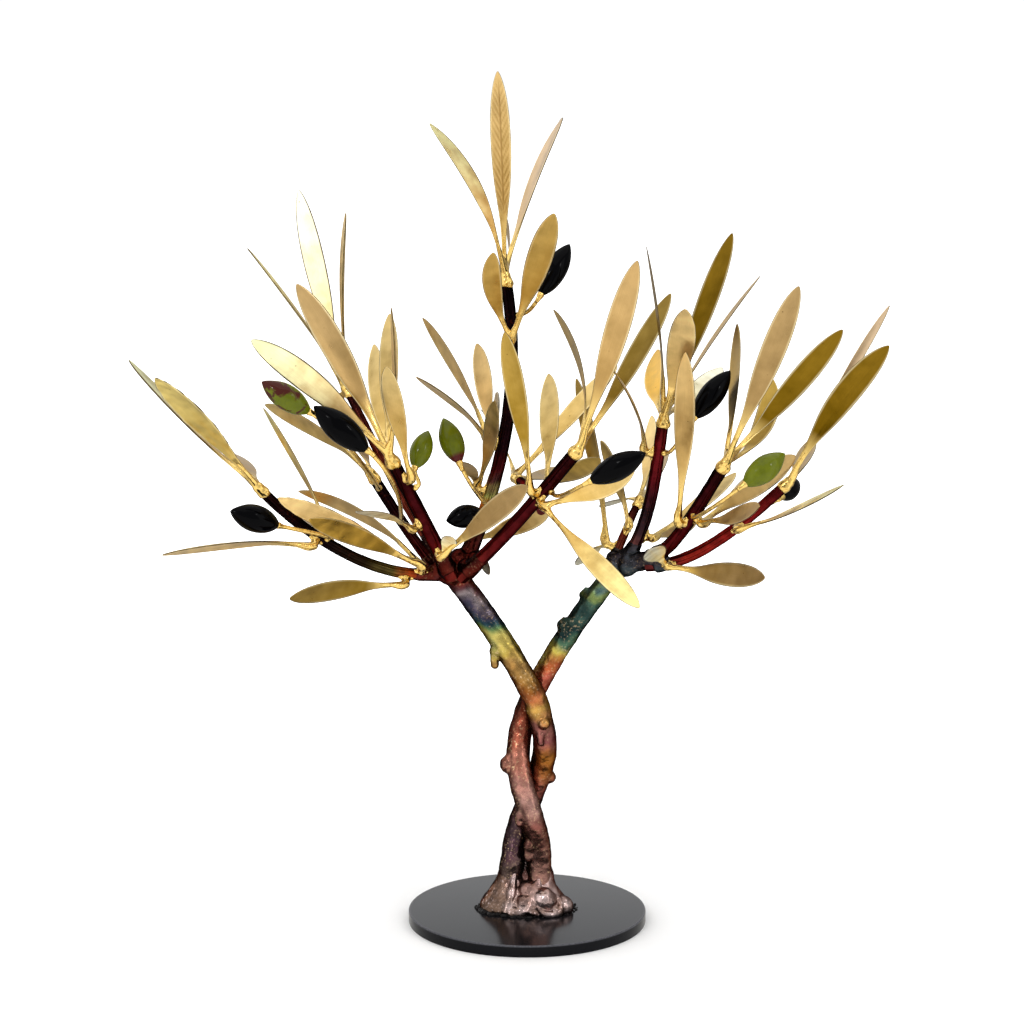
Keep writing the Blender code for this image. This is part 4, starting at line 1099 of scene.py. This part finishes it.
def mound_metal():
    """The lumps, skirts, folds, seam and lips that the mound is fused from."""
    parts = [lump(centre, radius) for centre, radius in MOUND_LUMPS]
    for (across, deep), rings in SKIRTS:
        skirt = rod([(across, deep, height) for height, radius in rings],
                    [radius for height, radius in rings], 12)
        skirt.scale.y = SKIRT_DEPTH
        parts.append(skirt)
    most, less = FOLD_TAPER
    for foot, middle, top, radius in FOLDS:
        handles = (foot, middle, Vector(middle).lerp(Vector(top), 0.5), top)
        radii = [radius * (most - less * step) for step in range(FOLD_RINGS + 1)]
        parts.append(rod(curve_points(handles, FOLD_RINGS), radii, 3))
    axis = [(AXIS_SHIFT + AXIS_LEAN * height, SEAM_DEPTH, height) for height, radius in SEAM]
    parts.append(rod(axis, [radius for height, radius in SEAM]))
    for centre, ring, thickness, lean, turn in LIPS:
        bpy.ops.object.select_all(action="DESELECT")
        bpy.ops.mesh.primitive_torus_add(location=Vector(centre) * MM, major_radius=ring * MM,
                                         minor_radius=thickness * MM,
                                         rotation=(math.radians(lean), 0, math.radians(turn)))
        parts.append(bpy.context.active_object)
    return parts


def edge_beads():
    """Small beads of burnt flux round the foot of the mound, heavier at the left and front."""
    draw = random.Random(11)
    evenly, extra, heaviest = EDGE_HEAVY
    beads = []
    for index in range(EDGE_BEADS):
        turn = 2 * math.pi * index / EDGE_BEADS
        heavy = evenly + extra * max(0, math.cos(turn - math.radians(heaviest)))
        reach = draw.uniform(*EDGE_WANDER)
        centre = (EDGE_REACH[0] * reach * math.cos(turn), EDGE_REACH[1] * reach * math.sin(turn),
                  EDGE_HEIGHT)
        beads.append(lump(centre, draw.uniform(*EDGE_RADII) * heavy, 2))
    return beads


class OLIVETREE_OT_mound(bpy.types.Operator):
    """Build up the molten root mound round the stems."""
    bl_idname = "olivetree.mound"
    bl_label = "Root mound"

    def execute(self, context):
        trunk = context.scene.olive_tree.trunk
        weld = fuse("root_weld", mound_metal(), *MOUND_MELT)
        for size, height in MOUND_MARKS:
            ripple(weld, size, height)
        # painted shade in the gap between the stems, then painted highlights on the weld
        store(weld, "soot_and_shade", near_spots(weld, PAINTED_SHADE_SPOTS))
        store(weld, "painted_highlight", near_spots(weld, PAINTED_HIGHLIGHTS))
        weld.data.materials.append(flame_copper("silver_weld", MOUND_HEAT, trunk.painted_gleam, (0.12, 0.3), 0.75,
                                                0.4, trunk.soot_and_shade, trunk.skirt))
        flux = fuse("burnt_flux", edge_beads(), *FLUX_MELT)
        ripple(flux, *FLUX_MARKS)
        flux.data.materials.append(burnt_flux())
        for obj in (weld, flux):
            select_only(obj)
            bpy.ops.object.mode_set(mode="EDIT")
            bpy.ops.mesh.select_all(action="SELECT")
            bpy.ops.mesh.bisect(plane_co=(0, 0, MOUND_FOOT * MM), plane_no=(0, 0, 1), clear_inner=True,
                                use_fill=True)
            bpy.ops.object.mode_set(mode="OBJECT")
        made = joined("root_weld", [weld, flux])
        settle(made, "mound", "root_mound")
        return {"FINISHED"}


def weld_knot(centre, outward, radius, drip):
    """A lump of weld on a stem, and the drip that starts above it, comes out over it and
    hangs down."""
    parts = [lump(centre, radius)]
    if drip:
        hook = [centre + outward * out + UP * up - UP * drip * fall for out, up, fall in DRIP_PATH]
        points = curve_points(hook, len(DRIP_SHARES) - 1)
        parts.append(rod(points, [radius * share for share in DRIP_SHARES]))
        parts.append(lump(points[-1], radius * DRIP_END))
    return parts


class OLIVETREE_OT_stems(bpy.types.Operator):
    """Forge the two twisted stems with their knots and forks."""
    bl_idname = "olivetree.stems"
    bl_label = "Stems"

    def execute(self, context):
        trunk = context.scene.olive_tree.trunk
        foot = trunk.foot_radius / MM
        for name, hand, end in (("left", -1, trunk.left_end / MM), ("right", 1, trunk.right_end / MM)):
            points = stem_path(hand)
            last = len(points) - 1
            radii = [foot + (end - foot) * (index / last) ** STEM_TAPER for index in range(last + 1)]
            parts = [rod(points, radii, 10)]
            knots = []
            for height, bearing, radius, drip, soot_and_shade in KNOTS[name]:
                angle = math.radians(bearing)
                outward = Vector((math.cos(angle), math.sin(angle), 0))
                centre = stem_point(hand, height) + outward * (foot - KNOT_SINK)
                parts += weld_knot(centre, outward, radius, drip)
                knots.append((centre, radius * KNOT_SOOT, soot_and_shade))
            parts += [lump(centre, radius) for centre, radius in FORK_LUMPS[name]]
            rise, fall = WELD_RISE
            for bough_name in FORK_BOUGHS[name]:
                row = BOUGHS[bough_name]
                radii = [row[4] + rise - fall * step for step in range(WELD_RINGS + 1)]
                parts.append(rod(curve_points(row[:4], WELD_RINGS, WELD_SHARE), radii))
            made = fuse("stem_" + name + "_forged", parts, *STEM_MELT)
            ripple(made, RIPPLE_SIZE, trunk.ripple / MM)
            ripple(made, STEM_GRIT[0], trunk.ripple / MM * STEM_GRIT[1])
            # soot round the knots, and painted shade on the sides that face left and right
            store(made, "soot_and_shade", np.maximum(near_spots(made, knots), painted_side_shade(made, *SIDE_SHADE_AMOUNTS[name])))
            made.data.materials.append(flame_copper("flame_copper_" + name, STEM_HEAT[name], trunk.fleck,
                                                    (0.16, 0.34), 0.55, 0.4, trunk.soot_and_shade))
            settle(made, "stem", "stem_" + name)
        return {"FINISHED"}


class OLIVETREE_OT_boughs(bpy.types.Operator):
    """Draw the copper boughs out of the forks."""
    bl_idname = "olivetree.boughs"
    bl_label = "Boughs"

    def execute(self, context):
        boughs = context.scene.olive_tree.boughs
        coppers = {name: flame_copper("dark_copper_" + name, stops, boughs.fleck, (0.14, 0.26), 0.12, 0.12)
                   for name, stops in BOUGH_HEAT.items()}
        for name, row in BOUGHS.items():
            points = curve_points(row[:4], BOUGH_RINGS)
            sink = points[0] - curve_direction(row[:4], 0.0) * BOUGH_SINK
            radii = [bough_radius(row, ring / BOUGH_RINGS) for ring in range(BOUGH_RINGS + 1)]
            made = joined("rod_" + name, [rod([sink, *points], [radii[0], *radii], 10)])
            ripple(made, RIPPLE_SIZE, boughs.ripple / MM)
            store_along(made, points)
            made.data.materials.append(coppers[row[6]])
            settle(made, "bough", "bough_" + name)
        return {"FINISHED"}


def model_leaf(form, leaves):
    """One leaf of the nominal size, lying along X, in one of the four forms."""
    stations = [(share * LEAF_LENGTH, width, thickness) for share, width, thickness in LEAF_STATIONS]
    made = drawn_out("leaf_" + form, stations, LEAF_SIDES, SHEET_SQUARENESS)
    # engraved veins need a finer blade
    subdivide(made, 3 if form == "veined" else 2)
    rows = vertices_of(made)
    rows[:, 0] *= LEAF_LENGTH / rows[:, 0].max()
    set_vertices(made, rows)
    if form == "beaten":
        ripple(made, DENT_SIZE, leaves.dent / MM)
        rows = vertices_of(made)
    # share runs from the root to the tip, and edge and across from the midrib to the side
    share = np.clip(rows[:, 0] / LEAF_LENGTH, 0, 1)
    widths = np.interp(share, [row[0] for row in LEAF_STATIONS], [row[1] for row in LEAF_STATIONS])
    edge = np.clip(np.abs(rows[:, 1]) / (widths - 0.1), 0, 1)
    across = np.abs(rows[:, 1]) / (LEAF_WIDTH / 2)
    blade = np.clip((share - STALK_END) / BLADE_OPENING, 0, 1)
    if form == "folded":
        rows[:, 2] += FOLD_RISE * across * blade
    else:
        rows[:, 2] += leaves.cup / MM * across ** 2 * blade
    groove = np.zeros(len(rows))
    if form == "veined":
        # side veins are shallower and narrower, and all fade out before the edge and the tip
        midrib = np.exp(-(rows[:, 1] / MIDRIB) ** 2)
        slant = (rows[:, 0] - np.abs(rows[:, 1]) * VEIN_SLANT) / VEIN_SPACING
        veins = 0.8 * np.exp(-((slant - np.round(slant)) / 0.2) ** 2) * np.clip(1.3 - across, 0, 1)
        groove = np.maximum(midrib, veins) * blade * np.clip((0.97 - share) / 0.1, 0, 1)
        rows[:, 2] -= VEIN_DEPTH * groove
    set_vertices(made, rows)
    store(made, "groove", groove)
    store(made, "share", share)
    store(made, "edge", edge)
    brushing = made.data.uv_layers.new(name="brushing")
    corners = np.zeros(len(made.data.loops), dtype=int)
    made.data.loops.foreach_get("vertex_index", corners)
    brushing.data.foreach_set("uv", (rows[corners][:, :2] / BRUSHING_UNIT).ravel())
    return made


def leaf_frame(leaf, root, twist, share):
    """Centre line of a leaf at shares of its length, and there its directions across and
    out of the blade. The stalk turns by the leaf's roll before the blade opens."""
    line = np.array(pointing(leaf.lean, leaf.toward))
    lean = math.radians(leaf.lean)
    level = np.array((math.cos(lean), 0, -math.sin(lean)))
    facing = np.cross(level, line)
    # the roll sets in softly and ends softly
    opened = np.clip(share / (STALK_END + ROLL_END), 0, 1)
    turned = opened ** 2 * (3 - 2 * opened)
    turn = math.radians(leaf.roll) * (ROOT_ROLL + (1 - ROOT_ROLL) * turned) + twist * (share - 0.5)
    cos, sin = np.cos(turn)[:, None], np.sin(turn)[:, None]
    across = level * cos + facing * sin
    normal = np.cross(across, line)
    bow = (4 * share * (1 - share))[:, None]
    straight = np.array(root) + line * (leaf.length * share)[:, None]
    return straight + (level * leaf.sway - normal * LEAF_CURL) * bow, across, normal


def bend_leaf(made, leaf, root, twist, draw):
    """Stretch, bow and twist a copy of a leaf into its place on the spray."""
    rows = vertices_of(made)
    share = rows[:, 0] / LEAF_LENGTH
    width = rows[:, 1] * leaf.width / LEAF_WIDTH
    lift = rows[:, 2] * np.where(share > STALK_END, draw.uniform(*LIFT_RANGE), 1.0)
    centre, across, normal = leaf_frame(leaf, root, twist, share)
    set_vertices(made, centre + across * width[:, None] + normal * lift[:, None])
    # each leaf is cut from another part of the brushed sheet
    shift = draw.uniform(0, 40)
    corners = np.zeros(len(made.data.loops) * 2)
    layer = made.data.uv_layers["brushing"].data
    layer.foreach_get("uv", corners)
    layer.foreach_set("uv", corners + shift)


def tip_joint(on_bough, direction, radius, centre):
    """The bead at a bough's tip, with the collar and the blob that hold it."""
    collar = [on_bough + direction * place for place, rise in COLLAR]
    radii = [radius + rise for place, rise in COLLAR]
    return [lump(centre, BEAD_RADIUS),
            rod([*collar, centre], [*radii, BEAD_RADIUS - 0.2]),
            lump(on_bough - direction * 0.2 + COLLAR_BLOB, radius * 0.9)]


def side_joint(on_bough, direction, radius, centre):
    """The bead on a bough's side, with its neck and the foot that runs along the bough."""
    # the foot lies a little under the bough's skin, and this bead is smaller than one at a tip
    foot = on_bough + (centre - on_bough).normalized() * (radius - 0.3)
    spread = direction * FOOT_SPREAD
    return [lump(centre, BEAD_RADIUS - 0.45),
            rod([foot, centre], NECK_RADII),
            rod([foot - spread, foot, foot + spread], FOOT_RADII)]


def braze_joint(bough_name, along, side, spray, twists):
    """The melted joint of a spray: a bead, its foot on the bough and the roots of its leaves."""
    row = BOUGHS[bough_name]
    centre = seat(bough_name, along, side, BEAD_RADIUS)
    on_bough = curve_point(row[:4], along)
    direction = curve_direction(row[:4], along)
    radius = bough_radius(row, along)
    if side == "tip":
        parts = tip_joint(on_bough, direction, radius, centre)
        middle = direction.copy()
    else:
        parts = side_joint(on_bough, direction, radius, centre)
        middle = (centre - on_bough).normalized() * 0.6
    # the webs leave the bead together, the way that the spray points on the whole
    for leaf in spray:
        middle += pointing(leaf.lean, leaf.toward) / len(spray)
    middle.normalize()
    shares = np.array(ROOT_SHARES)
    for leaf, twist in zip(spray, twists):
        points = [Vector(point) for point in leaf_frame(leaf, centre, twist, shares)[0]]
        parts.append(rod(points, ROOT_RADII, 4))
        reach = (points[2] - points[0]).length
        handles = (centre, centre + middle * reach * 0.5, points[1], points[2])
        parts.append(rod(curve_points(handles, len(WEB_RADII) - 1), WEB_RADII, 4))
    made = fuse("joint", parts, *JOINT_MELT)
    ripple(made, *JOINT_MARKS)
    return made


class OLIVETREE_OT_leaves(bpy.types.Operator):
    """Cut the brass leaves, bend them and braze them on in sprays."""
    bl_idname = "olivetree.leaves"
    bl_label = "Leaf sprays"

    def execute(self, context):
        leaves = context.scene.olive_tree.leaves
        patterns = {form: model_leaf(form, leaves) for form in ("plain", "beaten", "veined", "folded")}
        brass = {lit_tone: brushed_brass(lit_tone) for lit_tone in BRASS}
        melted = melted_brass(leaves)
        draw = random.Random(5)
        for name, (bough_name, along, side, spray) in SPRAYS.items():
            twists = [draw.uniform(-1, 1) * leaves.twist for leaf in spray]
            joint = braze_joint(bough_name, along, side, spray, twists)
            joint.data.materials.append(melted)
            parts = [joint]
            root = seat(bough_name, along, side, BEAD_RADIUS)
            for leaf, twist in zip(spray, twists):
                blade = own_copy(patterns[leaf.form], "blade")
                bend_leaf(blade, leaf, root, twist, draw)
                blade.data.materials.append(brass[leaf.brass])
                parts.append(blade)
            made = joined("leaves_" + name, parts)
            settle(made, "leaf", "spray_" + name)
        for pattern in patterns.values():
            bpy.data.objects.remove(pattern)
        return {"FINISHED"}


def model_fruit(end, direction, length, width):
    """One olive, from the end where its wire enters it."""
    foot, tip = OLIVE_ENDS
    stations = [(0.0, foot, foot)]
    stations += [(share * length, swell * width / 2, swell * width / 2) for share, swell in OLIVE_STATIONS]
    stations.append((length, tip, tip))
    made = drawn_out("fruit", stations, OLIVE_SIDES)
    subdivide(made, 2)
    ripple(made, *OLIVE_MARKS)
    rows = vertices_of(made)
    store(made, "along", rows[:, 0] / length)
    across = np.array(direction.orthogonal().normalized())
    other = np.cross(np.array(direction), across)
    set_vertices(made, np.array(end) + np.array(direction) * rows[:, :1] + across * rows[:, 1:2]
                 + other * rows[:, 2:3])
    return made


def model_wire(bough_name, along, side, end, direction, length, radius):
    """The wire of an olive, from its blob on the bough to the cup that holds the olive."""
    start = seat(bough_name, along, side, radius)
    outward = (start - curve_point(BOUGHS[bough_name][:4], along)).normalized()
    reach = (end - start).length / 3
    handles = (start - outward * 0.6, start + outward * WIRE_RISE, end - direction * reach,
               end + direction * length * WIRE_SINK)
    parts = [rod(curve_points(handles, WIRE_RINGS), [radius * WIRE_SPARE] * (WIRE_RINGS + 1), 4),
             lump(start - outward * 0.5, WIRE_BLOB, 2),
             rod([end + direction * place for place, girth in CUP], [girth for place, girth in CUP])]
    made = fuse("wire", parts, *WIRE_MELT)
    ripple(made, *WIRE_MARKS)
    return made


class OLIVETREE_OT_olives(bpy.types.Operator):
    """Enamel the olives and hang them on their wires."""
    bl_idname = "olivetree.olives"
    bl_label = "Olives"

    def execute(self, context):
        olives = context.scene.olive_tree.olives
        black, green, deep = opaque(olives.black), opaque(olives.green), opaque(olives.deep_green)
        enamel = {
            "black": fired_enamel("enamel_black", black, opaque(olives.black, 1.6), BLACK_SHEEN),
            "green": fired_enamel("enamel_green", deep, opaque(olives.green, 1.15), GREEN_SHEEN),
            "ripening": fired_enamel("enamel_ripening", deep, green, GREEN_SHEEN, stalk=olives.red),
            "mottled": fired_enamel("enamel_mottled", deep, green, GREEN_SHEEN, blot=olives.blot),
        }
        melted = bpy.data.materials["melted_brass"]
        for name, (bough_name, along, side, end, lean, toward, length, width, kind) in OLIVES.items():
            direction = pointing(lean, toward)
            fruit = model_fruit(end, direction, length, width)
            fruit.data.materials.append(enamel[kind])
            wire = model_wire(bough_name, along, side, Vector(end), direction, length,
                              olives.wire_radius / MM)
            wire.data.materials.append(melted)
            made = joined("olive_" + name + "_enamelled", [wire, fruit])
            settle(made, "olive_black" if kind == "black" else "olive_green", "olive_" + name)
        return {"FINISHED"}


def light_world(stage, world):
    """Light the room evenly, dimmer at the sides, with a lit backdrop far behind. The camera
    sees it as bright paper."""
    world.use_nodes = True
    tree = world.node_tree
    background = tree.nodes["Background"]
    seen = add_node(tree, "LightPath").outputs["Is Camera Ray"]
    way = add_node(tree, "TexCoord").outputs["Generated"]
    behind = add_node(tree, "SeparateXYZ", {"Vector": way}).outputs["Y"]
    room = add_node(tree, "MapRange", {"Value": behind, "From Min": -0.5, "From Max": 0.6,
                                       "To Min": stage.fill, "To Max": stage.fill_side})
    backdrop = add_node(tree, "MapRange", {"Value": behind, "From Min": 0.84, "From Max": 0.94,
                                           "To Max": stage.backdrop})
    light = add_node(tree, "Math", {0: room.outputs["Result"], 1: backdrop.outputs["Result"]})
    bright = add_node(tree, "Mix", {0: seen, 2: light.outputs[0], 3: PAPER_LIGHT}, NUMBERS)
    tree.links.new(bright.outputs[0], background.inputs["Strength"])
    background.inputs["Color"].default_value = (1, 1, 1, 1)


class OLIVETREE_OT_stage(bpy.types.Operator):
    """Lay the pale floor and set the lights and the camera."""
    bl_idname = "olivetree.stage"
    bl_label = "Stage"

    def execute(self, context):
        stage = context.scene.olive_tree.stage
        bpy.ops.object.select_all(action="DESELECT")
        bpy.ops.mesh.primitive_circle_add(vertices=96, radius=FLOOR_RADIUS, fill_type="NGON")
        floor = bpy.context.active_object
        floor.name = "floor"
        floor.data.materials.append(matt_floor(stage.floor))
        context.scene.world = bpy.data.worlds.new("studio")
        light_world(stage, context.scene.world)
        for name, place, width, height, power in SOFT_BOXES:
            bpy.ops.object.light_add(type="AREA", location=place)
            light = bpy.context.active_object
            light.name = "softbox_" + name
            light.data.shape = "RECTANGLE"
            light.data.size = width
            light.data.size_y = height
            light.data.energy = power
            light.rotation_euler = (AIM - Vector(place)).to_track_quat("-Z", "Y").to_euler()
        bpy.ops.object.camera_add(location=(stage.shift, -stage.distance, stage.height),
                                  rotation=(math.pi / 2 - stage.pitch, 0, 0))
        camera = bpy.context.active_object
        camera.name = "camera"
        # the lens is meant for film 36 mm wide
        camera.data.lens = stage.lens
        camera.data.sensor_width = 36.0
        camera.data.clip_start = 0.01
        context.scene.camera = camera
        context.scene.view_settings.view_transform = "Standard"
        return {"FINISHED"}


class OLIVETREE_PT_panel(bpy.types.Panel):
    """Lists every piece of the tree and its settings."""
    bl_label = "Olive tree"
    bl_idname = "OLIVETREE_PT_panel"
    bl_space_type = "VIEW_3D"
    bl_region_type = "UI"
    bl_category = "Olive tree"

    def draw(self, context):
        tree = context.scene.olive_tree
        for operator in OPERATORS:
            self.layout.operator(operator.bl_idname)
        for group in (tree.disc, tree.trunk, tree.boughs, tree.leaves, tree.olives, tree.stage):
            box = self.layout.box()
            for setting in group.bl_rna.properties:
                if setting.identifier not in {"rna_type", "name"}:
                    box.prop(group, setting.identifier)


OPERATORS = (OLIVETREE_OT_disc, OLIVETREE_OT_mound, OLIVETREE_OT_stems, OLIVETREE_OT_boughs,
             OLIVETREE_OT_leaves, OLIVETREE_OT_olives, OLIVETREE_OT_stage)
GROUPS = (OLIVETREE_PG_disc, OLIVETREE_PG_trunk, OLIVETREE_PG_boughs, OLIVETREE_PG_leaves,
          OLIVETREE_PG_olives, OLIVETREE_PG_stage, OLIVETREE_PG_tree)


def register():
    """Make the settings, operators and panel known to Blender."""
    for kind in (*GROUPS, *OPERATORS, OLIVETREE_PT_panel):
        bpy.utils.register_class(kind)
    bpy.types.Scene.olive_tree = bpy.props.PointerProperty(type=OLIVETREE_PG_tree)


def unregister():
    """Take them away again."""
    del bpy.types.Scene.olive_tree
    for kind in reversed((*GROUPS, *OPERATORS, OLIVETREE_PT_panel)):
        bpy.utils.unregister_class(kind)


def main():
    """Make every piece in order."""
    register()
    bpy.ops.olivetree.disc()
    bpy.ops.olivetree.mound()
    bpy.ops.olivetree.stems()
    bpy.ops.olivetree.boughs()
    bpy.ops.olivetree.leaves()
    bpy.ops.olivetree.olives()
    bpy.ops.olivetree.stage()


if __name__ == "__main__":
    main()
